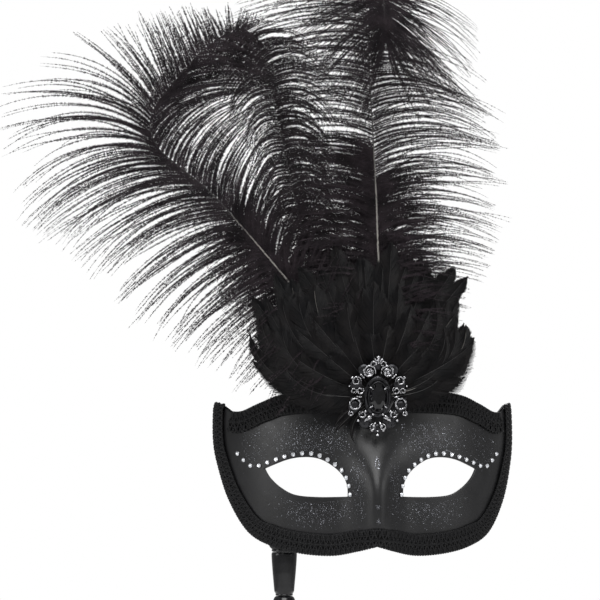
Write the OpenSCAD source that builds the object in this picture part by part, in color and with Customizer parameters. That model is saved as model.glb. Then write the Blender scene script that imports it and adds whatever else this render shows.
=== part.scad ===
// Venetian masquerade half mask on a turned stick, with plumes, hackles and a brooch.
// Millimetres. +Z up, the mask looks along -Y, the wearer is on the +Y side.
// The origin is the bridge of the wearer's nose: x = 0 on the middle line, z = 0 at pupil height.

/* [Mask] */
// Size of the mask's outline, as a share of the adult size
mask_scale = 1; // [0.94:0.01:1.03]
// Radius of the curve that wraps the mask round the face
face_r = 88; // [86:1:94]
// How far the nose stands out at the lower edge
nose_h = 16; // [12:1:20]
// Thickness of the moulded shell
shell_t = 1.2; // [1:0.1:1.6]
// Thickness of the felt lining
lining_t = 0.9; // [0.6:0.1:1.2]

/* [Trim] */
// Width of the edge braid, measured along the surface
braid_w = 11.5; // [9:0.5:12]
// Thickness of the edge braid
braid_t = 1.5; // [1:0.1:1.8]
// Number of stones round each eye
stone_count = 17; // [13:1:18]
// Radius of one stone
stone_r = 1.15; // [0.9:0.05:1.3]

/* [Brooch] */
// Backward tilt of the brooch's lower end
brooch_tilt = 8; // [0:1:12]
// Half width of the black stone
gem_rx = 4.7; // [4.3:0.1:5.6]
// Half height of the black stone
gem_ry = 7.9; // [7:0.1:8.2]

/* [Stick] */
// Largest radius of the barrel under the mask
barrel_r = 6.9; // [6.5:0.1:7.2]
// Radius of the plain grip at the stick's lower end
grip_r = 4.6; // [4.2:0.1:5]
// Length of the slender shaft between bead and grip
shaft_len = 118; // [80:2:140]
// Length of the grip
grip_len = 92; // [70:2:110]

/* [Hidden] */
$fn = 48;

// ---- Outline of one half of the mask, as (x, z) points that a smooth curve runs through ----
top_edge = mask_scale * [[0, 44], [22, 44.6], [46, 43.4], [59, 38.8], [69, 34.4], [76, 35.8], [81, 41]];
side_edge = mask_scale * [[81, 41], [82, 36], [82, 20], [80, 7], [74.5, -12], [65, -29], [53, -36.6],
                          [38, -40.4], [22, -41.4], [9, -39], [0, -36.4]];
eye_top = [[15, -11], [15.4, -5], [17.8, 0.4], [22.8, 5.4], [29.6, 9.2], [37.5, 10.2], [46.5, 8.8], [57.8, 4.2]];
eye_low = [[57.8, 4.2], [55, -0.8], [49.6, -6], [42, -10], [30, -11.2], [15, -11]];
eye_centre = [34.5, 0];
stone_line = [[71, 12.4], [65.5, 6.4], [62, 5.2], [58.7, 6.4], [46.5, 10.8], [37.5, 12.3], [30, 11.3],
              [22.6, 7.2], [17, 2], [14.3, -5], [13.5, -9.9]];

// ---- Grid of the shell and lining: columns run round the eye, rows from the eye to the rim ----
mid_n = 12;      // columns on the middle line
edge_n = 4;      // columns on each span of the outline
ring_n = 8;      // rows
glue_gap = 0.4;  // room for glue under trim, so that trim never cuts into the shell's facets
layer_gap = 0.1; // room between shell and lining

// ---- Feathers ----
feather_root = [0, 42];   // (x, z) where all the hackles meet, behind the brooch
root_r = 9;               // the hackles' lower ends stand this far from that point
hackle_t = 0.5;
hackle_pitch = 0.7;       // distance between layers of hackles
first_hackle_y = -9;
quill_r = 1.3;
quill_tip_r = 0.35;
quill_y = -6.5;           // the quills' roots lie side by side at this depth
quill_z = 50.6;           // the height at which the quills leave the glue
quill_gap = 0.5;          // free gap under each quill, where the stem bends
vane_t = 0.6;
vane_start = 0.16;        // share of the quill that is bare

// Each quill's own points, [x, y, z], from the glue to the tip
left_stem = [[-6, quill_y, quill_z + quill_gap], [-22, -5, 73], [-46, -3, 103], [-74, -1, 136], [-91, 0, 154], [-106, 0, 166],
             [-117, 0, 176], [-121, -1, 187], [-118, -2, 198], [-107, -3, 212], [-95, -3, 226], [-82, -4, 236], [-70, -4, 238]];
middle_stem = [[0, quill_y, quill_z + quill_gap], [-8, 0, 75], [-22, 8, 100], [-35, 12, 125], [-43, 14, 155], [-50, 15, 188],
               [-57, 14, 214], [-68, 12, 228], [-80, 11, 232]];
right_stem = [[6, quill_y, quill_z + quill_gap], [4, -6.6, 75], [1.5, -6.8, 113], [0, -7, 153], [-2, -7.5, 190], [-4, -9, 225],
              [-4, -14, 252], [-3.5, -25, 269], [-2.5, -40, 271], [-1, -52, 259], [-0.5, -57, 240]];

// ---- Brooch: stacked in front of the hackles' roots ----
brooch_y = -13.4;
brooch_z = 42;
plate_t = 1.4;
bezel_h = 2.2;

// ---- Stick: the axis stands behind the mask's lower left edge ----
stick_x = -46.5;
stick_y = 26.8;
tab_turn = 34;      // the tab follows the shell round the face
tab_lean = 4;
boss_top = -36.5;
boss_low = -40.8;
seam = 0.2;
peg_r = 3;
peg_len = 9;
spigot_r = 2.5;
spigot_len = 11.5;
pull_len = 12;      // how deep the shaft's own spigot sits in the barrel
fit_gap = 0.05;     // radial clearance of each push fit
barrel_len = 23.4;
bead_r = 6;

// ---- Plain vector and curve functions ----
function unit(v) = v / norm(v);
function lerp(a, b, t) = a + (b - a) * t;
function clamped(list, i) = list[max(0, min(len(list) - 1, i))];
function sum_to(list, i) = i < 0 ? 0 : list[i] + sum_to(list, i - 1);
function curve_point(a, b, c, d, t) =
    0.5 * (2 * b + (c - a) * t + (2 * a - 5 * b + 4 * c - d) * t * t + (3 * b - a - 3 * c + d) * t * t * t);
// A smooth curve through the points, n steps to each span
function curve(pts, n) = [
    for (i = [0:len(pts) - 2], k = [0:n - 1])
        curve_point(clamped(pts, i - 1), pts[i], pts[i + 1], clamped(pts, i + 2), k / n),
    pts[len(pts) - 1]
];
function without_last(list) = [for (i = [0:len(list) - 2]) list[i]];
function tangent(path, i) = unit(clamped(path, i + 1) - clamped(path, i - 1));
// The point at a share of a polyline's length
function spans(path) = [for (i = [0:len(path) - 2]) norm(path[i + 1] - path[i])];
function walk(path, steps, left, i = 0) =
    i >= len(steps) - 1 || left <= steps[i]
        ? lerp(path[i], path[i + 1], left / steps[i])
        : walk(path, steps, left - steps[i], i + 1);
function along(path, share) = let (steps = spans(path)) walk(path, steps, share * sum_to(steps, len(steps) - 1));
// How far from c, along d, a closed loop is met
function reach(c, d, loop) = min([
    for (i = [0:len(loop) - 1])
        let (a = loop[i] - c, e = loop[(i + 1) % len(loop)] - loop[i], across = d[0] * e[1] - d[1] * e[0])
        let (t = across == 0 ? -1 : (a[0] * e[1] - a[1] * e[0]) / across,
             u = across == 0 ? -1 : (a[0] * d[1] - a[1] * d[0]) / across)
        if (t > 0 && u >= -0.001 && u <= 1.001) t
]);

// ---- The face surface: depth y at (x, z), and the direction that points out of its front ----
function ease(t) = let (s = min(1, max(0, t))) s * s * (3 - 2 * s);
function nose_rise(z) = 1.5 + (nose_h - 1.5) * ease((36 - z) / 48) - 5 * pow(min(1, max(0, (-26 - z) / 11)), 2);
function nose_width(z) = 12 + 10 * ease((z + 12) / 40);
function depth(x, z) =
    face_r - sqrt(face_r * face_r - x * x) + z * z / 600 - nose_rise(z) * exp(-pow(x / nose_width(z), 2))
    - 0.6 * exp(-pow((z - 21) / 9, 2) - pow((abs(x) - 36) / 20, 2));
function slope_x(x, z) = (depth(x + 0.1, z) - depth(x - 0.1, z)) / 0.2;
function slope_z(x, z) = (depth(x, z + 0.1) - depth(x, z - 0.1)) / 0.2;
function outward(x, z) = unit([slope_x(x, z), -1, slope_z(x, z)]);
function on_face(p, off) = [p[0], depth(p[0], p[1]), p[1]] + off * outward(p[0], p[1]);
// Steps over the surface from p in direction q, for a true distance
function stroll(p, q, dist, n = 4) =
    n == 0 ? p
           : let (rise = slope_x(p[0], p[1]) * q[0] + slope_z(p[0], p[1]) * q[1])
             stroll(p + q * dist / n / sqrt(1 + rise * rise), q, dist * (n - 1) / n, n - 1);

// ---- Solids made from lists of points ----
// A closed skin through rings of points that have the same number of points each
module loft(rings) {
    n = len(rings[0]);
    last = (len(rings) - 1) * n;
    polyhedron(
        points = [for (r = rings) each r],
        faces = [
            for (k = [0:len(rings) - 2], i = [0:n - 1])
                let (a = k * n + i, b = k * n + (i + 1) % n) each [[a, b + n, b], [a, a + n, b + n]],
            for (i = [1:n - 2]) [0, i, i + 1],
            for (i = [1:n - 2]) [last, last + i + 1, last + i]
        ]
    );
}

// A sheet that lies on the face surface: rows of (x, z) points, its back at lo and its front at hi
module face_sheet(rows, lo, hi) {
    loft([
        for (r = rows) concat(
            [for (p = r) on_face(p, lo)],
            [for (i = [len(r) - 1:-1:0]) on_face(r[i], i == 0 || i == len(r) - 1 ? lerp(lo, hi, 0.4) : hi)]
        )
    ]);
}

// ---- Shell and lining ----
rim = concat(
    [for (k = [0:mid_n - 1]) [0, lerp(side_edge[len(side_edge) - 1][1], top_edge[0][1], k / mid_n)]],
    without_last(curve(top_edge, edge_n)),
    without_last(curve(side_edge, edge_n))
);
eye_loop = concat(without_last(curve(eye_top, 5)), without_last(curve(eye_low, 5)));
rim_n = len(rim);

function rim_inset(i, inset) =
    i <= mid_n
        ? [0, lerp(side_edge[len(side_edge) - 1][1] + inset, top_edge[0][1] - inset, i / mid_n)]
        : rim[i] - inset * unit(rim[i] - eye_centre);
function ring_point(i, j, inset) =
    let (outer = rim_inset(i, inset), d = unit(outer - eye_centre),
         inner = eye_centre + d * (reach(eye_centre, d, eye_loop) + inset))
    lerp(inner, outer, j / ring_n);

// Both halves are one solid: the middle line's points belong to the right half alone
function ring_index(side, i, j, layer) =
    let (c = i % rim_n, s = j == ring_n && c <= mid_n ? 0 : side) (((s * rim_n + c) * (ring_n + 1)) + j) * 2 + layer;
function turned(face, side) = side == 0 ? face : [face[0], face[2], face[1]];
function two_faces(a, b, c, d, side) = [turned([a, b, c], side), turned([a, c, d], side)];

module mask_layer(front, back, inset) {
    polyhedron(
        points = [
            for (side = [0, 1], i = [0:rim_n - 1], j = [0:ring_n])
                let (p = ring_point(i, j, inset), m = [side == 0 ? p[0] : -p[0], p[1]])
                each [on_face(m, front), on_face(m, back)]
        ],
        faces = [
            for (side = [0, 1], i = [0:rim_n - 1]) each concat(
                [
                    for (j = [0:ring_n - 1]) each concat(
                        two_faces(ring_index(side, i, j, 0), ring_index(side, i, j + 1, 0),
                                  ring_index(side, i + 1, j + 1, 0), ring_index(side, i + 1, j, 0), side),
                        two_faces(ring_index(side, i, j, 1), ring_index(side, i + 1, j, 1),
                                  ring_index(side, i + 1, j + 1, 1), ring_index(side, i, j + 1, 1), side))
                ],
                two_faces(ring_index(side, i, 0, 0), ring_index(side, i + 1, 0, 0),
                          ring_index(side, i + 1, 0, 1), ring_index(side, i, 0, 1), side),
                i < mid_n ? []
                          : two_faces(ring_index(side, i + 1, ring_n, 0), ring_index(side, i, ring_n, 0),
                                      ring_index(side, i, ring_n, 1), ring_index(side, i + 1, ring_n, 1), side)
            )
        ]
    );
}

module mask_shell() {
    color("#1b1b1d") mask_layer(0, -shell_t, 0);
}

module felt_lining() {
    front = -shell_t - layer_gap;
    color("#101012") mask_layer(front, front - lining_t, 1.5);
}

// ---- Edge braid: strips that straddle the rim ----
braid_over = 1.2;   // how far the scalloped edge stands past the rim
braid_rows = 5;

// flip is 1 where the mask lies to the right of the path, -1 where it lies to the left
module braid(path, flip) {
    rows = [
        for (i = [0:len(path) - 1])
            let (t = tangent(path, i), inward = flip * [t[1], -t[0]])
            [for (k = [0:braid_rows - 1]) stroll(path[i], inward, lerp(-braid_over, braid_w - braid_over, k / (braid_rows - 1)))]
    ];
    color("#0d0d10") face_sheet(rows, glue_gap, glue_gap + braid_t);
}

function mirrored(path) = [for (p = path) [-p[0], p[1]]];
function reversed(list) = [for (i = [len(list) - 1:-1:0]) list[i]];

top_half = [for (p = curve(top_edge, 5)) if (p[0] < 73.5 * mask_scale) p];
side_path = [for (p = curve(side_edge, 5)) if (p[0] > 0.4) p];

module top_braid() {
    braid(concat(reversed(mirrored([for (p = top_half) if (p[0] > 0.1) p])), top_half), 1);
}

module right_braid() {
    braid(side_path, 1);
}

module left_braid() {
    braid(reversed(mirrored(side_path)), 1);
}

// ---- Stones: flat-backed, set along the upper lid and curled up at the temple ----
module on_surface(p, off) {
    n = outward(p[0], p[1]);
    u = unit(cross([0, 0, 1], n));
    v = cross(n, u);
    o = on_face(p, off);
    multmatrix([[u[0], v[0], n[0], o[0]], [u[1], v[1], n[1], o[1]], [u[2], v[2], n[2], o[2]], [0, 0, 0, 1]]) children();
}

module stone() {
    rotate_extrude() polygon([[0, 0], [stone_r, 0], [stone_r, 0.35], [0.55 * stone_r, 1], [0, 1]]);
}

module eye_stones(side) {
    line = curve(stone_line, 6);
    color("#d8dadf") for (k = [0:stone_count - 1]) {
        p = along(line, k / (stone_count - 1));
        on_surface([side * p[0], p[1]], glue_gap) stone();
    }
}

module left_eye_stones() {
    eye_stones(-1);
}

module right_eye_stones() {
    eye_stones(1);
}

// ---- What the feathers are fixed with ----
function oval(rx, ry, n = 40) = [for (i = [0:n - 1]) [rx * cos(360 * i / n), ry * sin(360 * i / n)]];

// Places a flat part, drawn in x and y, upright at (0, y, z) with its top towards the front
module upright(y, z, tilt = 0) {
    translate([0, y, z]) rotate([90 + tilt, 0, 0]) children();
}

module feather_pad() {
    color("#0c0c0d") upright(-3.4, 39) linear_extrude(1.2) polygon(oval(14, 13));
}

module glue_block() {
    color("#26262a") upright(-4.8, 40) linear_extrude(3.4) polygon(
        [[-8, -9], [8, -9], [10, -6], [10, 10], [-10, 10], [-10, -6]]);
}

// ---- Plumes: a tapered quill with a thin web on each side ----
function ring_round(c, t, a, r, n) = let (b = cross(t, a)) [for (i = [0:n - 1]) c + r * (cos(360 * i / n) * a + sin(360 * i / n) * b)];
// The direction across a feather: level with the front, or level with x where it curls over
function across(t, curls) = curls ? unit([1, 0, 0] - t[0] * t) : unit(cross([0, 1, 0], t));

module quill(stem, curls) {
    path = curve(stem, 3);
    n = len(path) - 1;
    color("#3a3632") loft([
        for (i = [0:n]) let (t = tangent(path, i))
            ring_round(path[i], t, across(t, curls), lerp(quill_r, quill_tip_r, i / n), 8)
    ]);
}

// One web: widths is a list of shares along the vane, side is 1 to the right of the quill
module web(stem, curls, widths, side) {
    path = curve(stem, 3);
    n = len(path) - 1;
    first = ceil(n * vane_start);
    color("#141316") loft([
        for (i = [first:n])
            let (s = (i - first) / (n - first), t = tangent(path, i), a = side * across(t, curls), b = cross(t, a),
                 w = along_values(widths, s), from = lerp(quill_r, quill_tip_r, i / n) + 0.1, h = vane_t / 2,
                 ring = [[from, -h], [from + 0.7 * w, -h], [from + w, 0], [from + 0.7 * w, h], [from, h]])
            [for (p = ring) path[i] + p[0] * a + p[1] * b]
    ]);
}

function along_values(list, s) =
    let (x = s * (len(list) - 1), i = min(len(list) - 2, floor(x))) lerp(list[i], list[i + 1], x - i);

module left_quill() {
    quill(left_stem, false);
}

module left_vane() {
    web(left_stem, false, [20, 70, 88, 84, 80, 74, 60, 46, 34, 14], -1);
    web(left_stem, false, [10, 34, 40, 30, 20, 14, 12, 14, 24, 12], 1);
}

module middle_quill() {
    quill(middle_stem, false);
}

module middle_vane() {
    web(middle_stem, false, [12, 28, 34, 36, 36, 30, 22, 16, 10], -1);
    web(middle_stem, false, [12, 34, 44, 46, 46, 44, 40, 30, 12], 1);
}

module right_quill() {
    quill(right_stem, true);
}

module right_vane() {
    web(right_stem, true, [14, 40, 52, 58, 60, 60, 62, 60, 44, 20], -1);
    web(right_stem, true, [14, 46, 66, 72, 72, 70, 64, 60, 54, 24], 1);
}

// ---- Hackles: small leaf-shaped feathers fanned round the brooch ----
// A point on an arc that starts at angle a0 and turns by bend over its length
function arc_step(a0, bend, len, s) =
    abs(bend) < 1 ? s * len * [cos(a0), sin(a0)]
                  : (len / (bend * PI / 180)) * [sin(a0 + bend * s) - sin(a0), cos(a0) - cos(a0 + bend * s)];

// lift carries the feather's tip forward of its layer
module hackle(angle, length, bend, width, y, lift) {
    n = 10;
    root = feather_root + root_r * [cos(angle), sin(angle)];
    color("#17161a") loft([
        for (i = [0:n])
            let (s = i / n, p = root + arc_step(angle, bend, length, s), heading = angle + bend * s,
                 a = [-sin(heading), 0, cos(heading)], w = 0.6 + (width / 2 - 0.6) * pow(sin(180 * pow(s, 0.8)), 1.3),
                 y_here = y - lift * s * s, h = hackle_t / 2)
            [for (q = [[-w, 0], [0, -h], [w, 0], [0, h]]) [p[0], y_here, p[1]] + q[0] * a + [0, q[1], 0]]
    ]);
}

// A fan of count hackles from one angle to another, in two layers by turns
module hackle_fan(from, to, count, length, bend_from, bend_to, width, layer, lift) {
    for (k = [0:count - 1]) {
        s = k / (count - 1);
        hackle(lerp(from, to, s), length * (1 - 0.12 * abs(sin(250 * k))), lerp(bend_from, bend_to, s), width,
               first_hackle_y - hackle_pitch * (2 * layer + k % 2), lift);
    }
}

module back_hackles() {
    hackle_fan(34, 146, 8, 68, 22, -22, 15, 0, 0);
}

module left_hackles() {
    hackle_fan(145, 199, 4, 62, -66, -66, 13, 1, 3);
}

module right_hackles() {
    hackle_fan(35, -19, 4, 56, 66, 66, 13, 1, 3);
}

module front_hackles() {
    hackle_fan(30, 150, 6, 42, 26, -26, 11, 2, 6);
}

// ---- Brooch ----
module ring_wire(r, wire) {
    rotate_extrude() translate([r, 0]) circle(wire);
}

module at_pairs(points) {
    for (p = points, side = [-1, 1]) translate([side * p[0], p[1], 0]) children();
}

ring_places = [[7.4, 14.2], [12.6, -5.4]];
lobe_places = [[12.2, 6], [6.6, -14.6]];
bead_places = [[14, 10.2], [15.4, -9], [10.4, -12.6], [3, -18.4], [2.2, 18.6]];

module brooch_casting() {
    color("#4a4a50") upright(brooch_y, brooch_z, brooch_tilt) {
        difference() {
            linear_extrude(plate_t) {
                polygon(oval(10.6, 14.4));
                for (p = concat(ring_places, lobe_places), side = [-1, 1]) translate([side * p[0], p[1]]) circle(3.9);
                translate([0, 17.6]) circle(3);
                translate([0, -17.6]) circle(2.8);
            }
            translate([0, 0, -1]) linear_extrude(plate_t + 2) for (p = ring_places, side = [-1, 1])
                translate([side * p[0], p[1]]) circle(1.7);
        }
        for (p = bead_places, side = [-1, 1]) translate([side * p[0], p[1], plate_t * 0.6]) sphere(1.15);
        translate([0, 21, plate_t * 0.6]) sphere(1.5);
        translate([0, -20.9, plate_t * 0.6]) sphere(1.2);
    }
}

module brooch_rings() {
    color("#8c8c92") upright(brooch_y, brooch_z, brooch_tilt) {
        at_pairs(ring_places) translate([0, 0, plate_t + 0.75]) ring_wire(2.6, 0.7);
    }
}

module brooch_bezel() {
    color("#5a5a60") upright(brooch_y, brooch_z, brooch_tilt) translate([0, 0, plate_t + 0.05]) difference() {
        linear_extrude(bezel_h) polygon(oval(gem_rx + 1.1, gem_ry + 1.1));
        translate([0, 0, 0.6]) linear_extrude(bezel_h) polygon(oval(gem_rx + 0.1, gem_ry + 0.1));
    }
}

module brooch_prongs() {
    color("#8c8c92") upright(brooch_y, brooch_z, brooch_tilt) for (a = [38, 142, 218, 322])
        translate([(gem_rx + 1.75) * cos(a), (gem_ry + 1.75) * sin(a), plate_t + 0.05]) {
            cylinder(r = 0.55, h = bezel_h + 0.8);
            translate([0, 0, bezel_h + 0.8]) sphere(0.55);
        }
}

module brooch_gem() {
    color("#050506") upright(brooch_y, brooch_z, brooch_tilt) translate([0, 0, plate_t + 0.75]) hull() {
        linear_extrude(0.1) polygon(oval(gem_rx * 0.5, gem_ry * 0.5, 12));
        translate([0, 0, 1.6]) linear_extrude(0.5) polygon(oval(gem_rx, gem_ry, 16));
        translate([0, 0, 3.3]) linear_extrude(0.5) polygon(oval(gem_rx * 0.58, gem_ry * 0.62, 8));
    }
}

module brooch_crystals() {
    color("#101014") upright(brooch_y, brooch_z, brooch_tilt) translate([0, 0, plate_t + 0.05]) at_pairs(lobe_places)
        rotate_extrude() polygon([[0, 0], [2.3, 0], [2.3, 0.5], [1.2, 1.5], [0, 1.5]]);
}

// ---- Stick ----
// Places a part on the stick's axis
module on_stick(z = 0) {
    translate([stick_x, stick_y, z]) children();
}

module stick_bracket() {
    color("#161618") on_stick() {
        translate([0, 0, boss_low]) cylinder(r = barrel_r - 0.1, h = boss_top - boss_low);
        translate([0, 0, boss_low - peg_len]) cylinder(r = peg_r, h = peg_len + 1);
        rotate([0, 0, -tab_turn]) translate([-6, -6.2, boss_top - 3]) rotate([tab_lean, 0, 0]) cube([12, 2.4, 26]);
    }
}

module bracket_patch() {
    color("#101012") on_stick() rotate([0, 0, -tab_turn]) translate([-10, -3.5, boss_top + 2.6]) rotate([tab_lean, 0, 0])
        cube([20, 0.9, 21]);
}

barrel_top = boss_low - seam;
barrel_low = barrel_top - barrel_len;
bead_top = barrel_low - seam;

module stick_barrel() {
    color("#161618") on_stick() difference() {
        translate([0, 0, barrel_low]) rotate_extrude() polygon([
            [0, 0], [4.7, 0], [4.6, 0.7], [4.9, 1.4], [5.35, 2.2], [5.7, 6], [6.25, 12], [6.7, 18],
            [barrel_r, 22], [barrel_r, 22.8], [barrel_r - 0.5, barrel_len], [0, barrel_len]]);
        translate([0, 0, barrel_top - peg_len - 0.6]) cylinder(r = peg_r + fit_gap, h = peg_len + 2);
        translate([0, 0, barrel_low - 1]) cylinder(r = spigot_r + fit_gap, h = 1 + pull_len + 0.5);
    }
}

// The turned shaft, from its bead down to the grip's shoulder; s runs down from the bead's top
shaft_low = bead_top - 10 - shaft_len;

module stick_shaft() {
    taper = shaft_len - 16;
    color("#161618") on_stick() difference() {
        union() {
            translate([0, 0, bead_top]) mirror([0, 0, 1]) rotate_extrude() polygon([
                [0, 0], [4.5, 0], [5.4, 0.9], [bead_r, 2.4], [bead_r, 3.4], [5.4, 4.9], [4.3, 6], [4, 7],
                [4.4, 7.8], [5, 8.4], [4.6, 9.4], [3.9, 10],
                [3.5, 10 + taper * 0.3], [3.3, 10 + taper * 0.6], [3.5, 10 + taper],
                [4.6, 12 + taper], [5.2, 14 + taper], [4.6, 16 + taper], [3.8, 17.5 + taper],
                [3.8, 19.5 + taper], [4.8, 21 + taper], [5.3, 23 + taper], [4.9, 26 + taper], [0, 26 + taper]]);
            translate([0, 0, bead_top - 1]) cylinder(r = spigot_r, h = 1 + seam + pull_len);
        }
        translate([0, 0, shaft_low - 1]) cylinder(r = spigot_r + fit_gap, h = 1 + 12);
    }
}

grip_top = shaft_low - seam;
grip_low = grip_top - grip_len;

module stick_grip() {
    color("#161618") on_stick() difference() {
        union() {
            translate([0, 0, grip_low]) cylinder(r = grip_r, h = grip_len);
            translate([0, 0, grip_top - 1]) cylinder(r = spigot_r, h = 1 + spigot_len);
        }
        translate([0, 0, grip_low - 1]) cylinder(r = spigot_r + fit_gap, h = 1 + 9);
    }
}

module end_cap() {
    color("#161618") on_stick() translate([0, 0, grip_low - seam]) {
        mirror([0, 0, 1]) rotate_extrude() polygon([
            [0, 0], [grip_r - 1, 0], [grip_r - 1.1, 0.8], [grip_r - 0.3, 1.8], [grip_r - 0.5, 3.2], [grip_r - 1.4, 4.5],
            [grip_r - 3, 5.1], [0, 5.2]]);
        translate([0, 0, -1]) cylinder(r = spigot_r, h = 1 + 8);
    }
}

mask_shell();
felt_lining();
top_braid();
left_braid();
right_braid();
left_eye_stones();
right_eye_stones();
feather_pad();
glue_block();
left_quill();
left_vane();
middle_quill();
middle_vane();
right_quill();
right_vane();
back_hackles();
left_hackles();
right_hackles();
front_hackles();
brooch_casting();
brooch_rings();
brooch_bezel();
brooch_prongs();
brooch_gem();
brooch_crystals();
stick_bracket();
bracket_patch();
stick_barrel();
stick_shaft();
stick_grip();
end_cap();
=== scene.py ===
"""The visual model of the masquerade mask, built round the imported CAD.

Lengths are in millimetres until a mesh is made.
"""

import math

import bmesh
import bpy
import numpy as np
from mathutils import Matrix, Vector


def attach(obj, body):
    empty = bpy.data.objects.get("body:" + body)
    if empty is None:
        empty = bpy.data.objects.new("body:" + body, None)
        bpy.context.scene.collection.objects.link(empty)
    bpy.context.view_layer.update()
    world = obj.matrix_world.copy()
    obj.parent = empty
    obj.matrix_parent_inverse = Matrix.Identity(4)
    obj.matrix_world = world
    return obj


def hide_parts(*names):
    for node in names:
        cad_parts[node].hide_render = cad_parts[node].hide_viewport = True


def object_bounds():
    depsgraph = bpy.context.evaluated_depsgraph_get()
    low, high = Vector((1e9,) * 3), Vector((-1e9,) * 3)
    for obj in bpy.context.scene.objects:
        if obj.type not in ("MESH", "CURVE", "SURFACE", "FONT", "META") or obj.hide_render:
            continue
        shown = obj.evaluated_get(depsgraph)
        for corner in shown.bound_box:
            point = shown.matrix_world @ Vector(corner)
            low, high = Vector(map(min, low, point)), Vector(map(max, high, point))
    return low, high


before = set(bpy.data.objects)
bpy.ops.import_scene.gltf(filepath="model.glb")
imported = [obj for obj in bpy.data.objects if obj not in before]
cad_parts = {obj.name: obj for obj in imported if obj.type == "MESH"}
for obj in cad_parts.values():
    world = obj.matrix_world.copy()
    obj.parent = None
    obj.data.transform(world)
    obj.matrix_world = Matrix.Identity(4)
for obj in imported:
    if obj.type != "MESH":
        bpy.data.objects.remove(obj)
cad_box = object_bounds()
MM = 0.001
UP = np.array([0.0, 0.0, 1.0])

# ---------------------------------------------------------------- sizes repeated from part.scad
FACE_R, NOSE_H = 88.0, 16.0
SHELL_T, LINING_T, LAYER_GAP = 1.2, 0.9, 0.1
BRAID_W, BRAID_OVER = 11.5, 1.2
STONES, STONE_R = 17, 1.15
EYE_CENTRE = np.array([34.5, 0.0])
TOP_EDGE = [[0, 44], [22, 44.6], [46, 43.4], [59, 38.8], [69, 34.4], [76, 35.8], [81, 41]]
SIDE_EDGE = [[81, 41], [82, 36], [82, 20], [80, 7], [74.5, -12], [65, -29], [53, -36.6],
             [38, -40.4], [22, -41.4], [9, -39], [0, -36.4]]
EYE_TOP = [[15, -11], [15.4, -5], [17.8, 0.4], [22.8, 5.4], [29.6, 9.2], [37.5, 10.2], [46.5, 8.8],
           [57.8, 4.2]]
EYE_LOW = [[57.8, 4.2], [55, -0.8], [49.6, -6], [42, -10], [30, -11.2], [15, -11]]
STONE_LINE = [[71, 12.4], [65.5, 6.4], [62, 5.2], [58.7, 6.4], [46.5, 10.8], [37.5, 12.3], [30, 11.3],
              [22.6, 7.2], [17, 2], [14.3, -5], [13.5, -9.9]]
LEFT_STEM = [[-6, -6.5, 51.1], [-22, -5, 73], [-46, -3, 103], [-74, -1, 136], [-91, 0, 154], [-106, 0, 166],
             [-117, 0, 176], [-121, -1, 187], [-118, -2, 198], [-107, -3, 212], [-95, -3, 226],
             [-82, -4, 236], [-70, -4, 238]]
MIDDLE_STEM = [[0, -6.5, 51.1], [-8, 0, 75], [-22, 8, 100], [-35, 12, 125], [-43, 14, 155], [-50, 15, 188],
               [-57, 14, 214], [-68, 12, 228], [-80, 11, 232]]
RIGHT_STEM = [[6, -6.5, 51.1], [4, -6.6, 75], [1.5, -6.8, 113], [0, -7, 153], [-2, -7.5, 190], [-4, -9, 225],
              [-4, -14, 252], [-3.5, -25, 268], [-2.5, -38, 269], [-1, -48, 257], [-0.5, -52, 238],
              [0, -51, 228]]
FEATHER_ROOT = np.array([0.0, 42.0])
BROOCH_Y, BROOCH_Z, BROOCH_TILT = -13.4, 42.0, 8.0
GEM_RX, GEM_RY = 4.7, 7.9
STICK_X, STICK_Y = -46.5, 26.8
TAB_TURN, TAB_LEAN = 34.0, 4.0
BOSS_TOP, BOSS_LOW, BARREL_TOP, BARREL_LOW, BEAD_TOP = -36.5, -40.8, -41.0, -64.4, -64.6
SHAFT_LEN, GRIP_R, GRIP_LEN = 118.0, 4.6, 92.0
SPIGOT_R, SPIGOT_LEN, FIT_GAP = 2.5, 12.2, 0.1
SHAFT_LOW = BEAD_TOP - 10 - SHAFT_LEN
GRIP_TOP = SHAFT_LOW - 0.2
GRIP_LOW = GRIP_TOP - GRIP_LEN


# ---------------------------------------------------------------- curves and vectors
def unit(v):
    return v / np.maximum(np.linalg.norm(v, axis=-1, keepdims=True), 1e-12)


def curve(points, per_span):
    """A smooth curve through the points, the same one as part.scad draws."""
    p = np.array(points, float)
    p = np.vstack([p[:1], p, p[-1:]])
    out = []
    for a, b, c, d in zip(p[:-3], p[1:-2], p[2:-1], p[3:]):
        for t in np.arange(per_span) / per_span:
            out.append(0.5 * (2 * b + (c - a) * t + (2 * a - 5 * b + 4 * c - d) * t * t
                              + (3 * b - a - 3 * c + d) * t ** 3))
    return np.array(out + [p[-1]])


def lengths(path):
    return np.concatenate([[0], np.cumsum(np.linalg.norm(np.diff(path, axis=0), axis=1))])


def along(path, share):
    """Points at these shares of a path's length."""
    ell = lengths(path)
    share = np.asarray(share, float) * ell[-1]
    return np.stack([np.interp(share, ell, path[:, k]) for k in range(path.shape[1])], -1)


def tangents(path):
    return unit(np.gradient(path, axis=0))


def table(rows, s):
    """Columns of a small table, read at s: the first column holds s."""
    rows = np.array(rows, float)
    return [np.interp(s, rows[:, 0], rows[:, k]) for k in range(1, rows.shape[1])]


# ---------------------------------------------------------------- the face surface, as in part.scad
def ease(t):
    t = np.clip(t, 0, 1)
    return t * t * (3 - 2 * t)


def depth(x, z):
    rise = 1.5 + (NOSE_H - 1.5) * ease((36 - z) / 48) - 5 * np.clip((-26 - z) / 11, 0, 1) ** 2
    wide = 12 + 10 * ease((z + 12) / 40)
    return (FACE_R - np.sqrt(FACE_R ** 2 - x * x) + z * z / 600 - rise * np.exp(-(x / wide) ** 2)
            - 0.6 * np.exp(-((z - 21) / 9) ** 2 - ((np.abs(x) - 36) / 20) ** 2))


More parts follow.
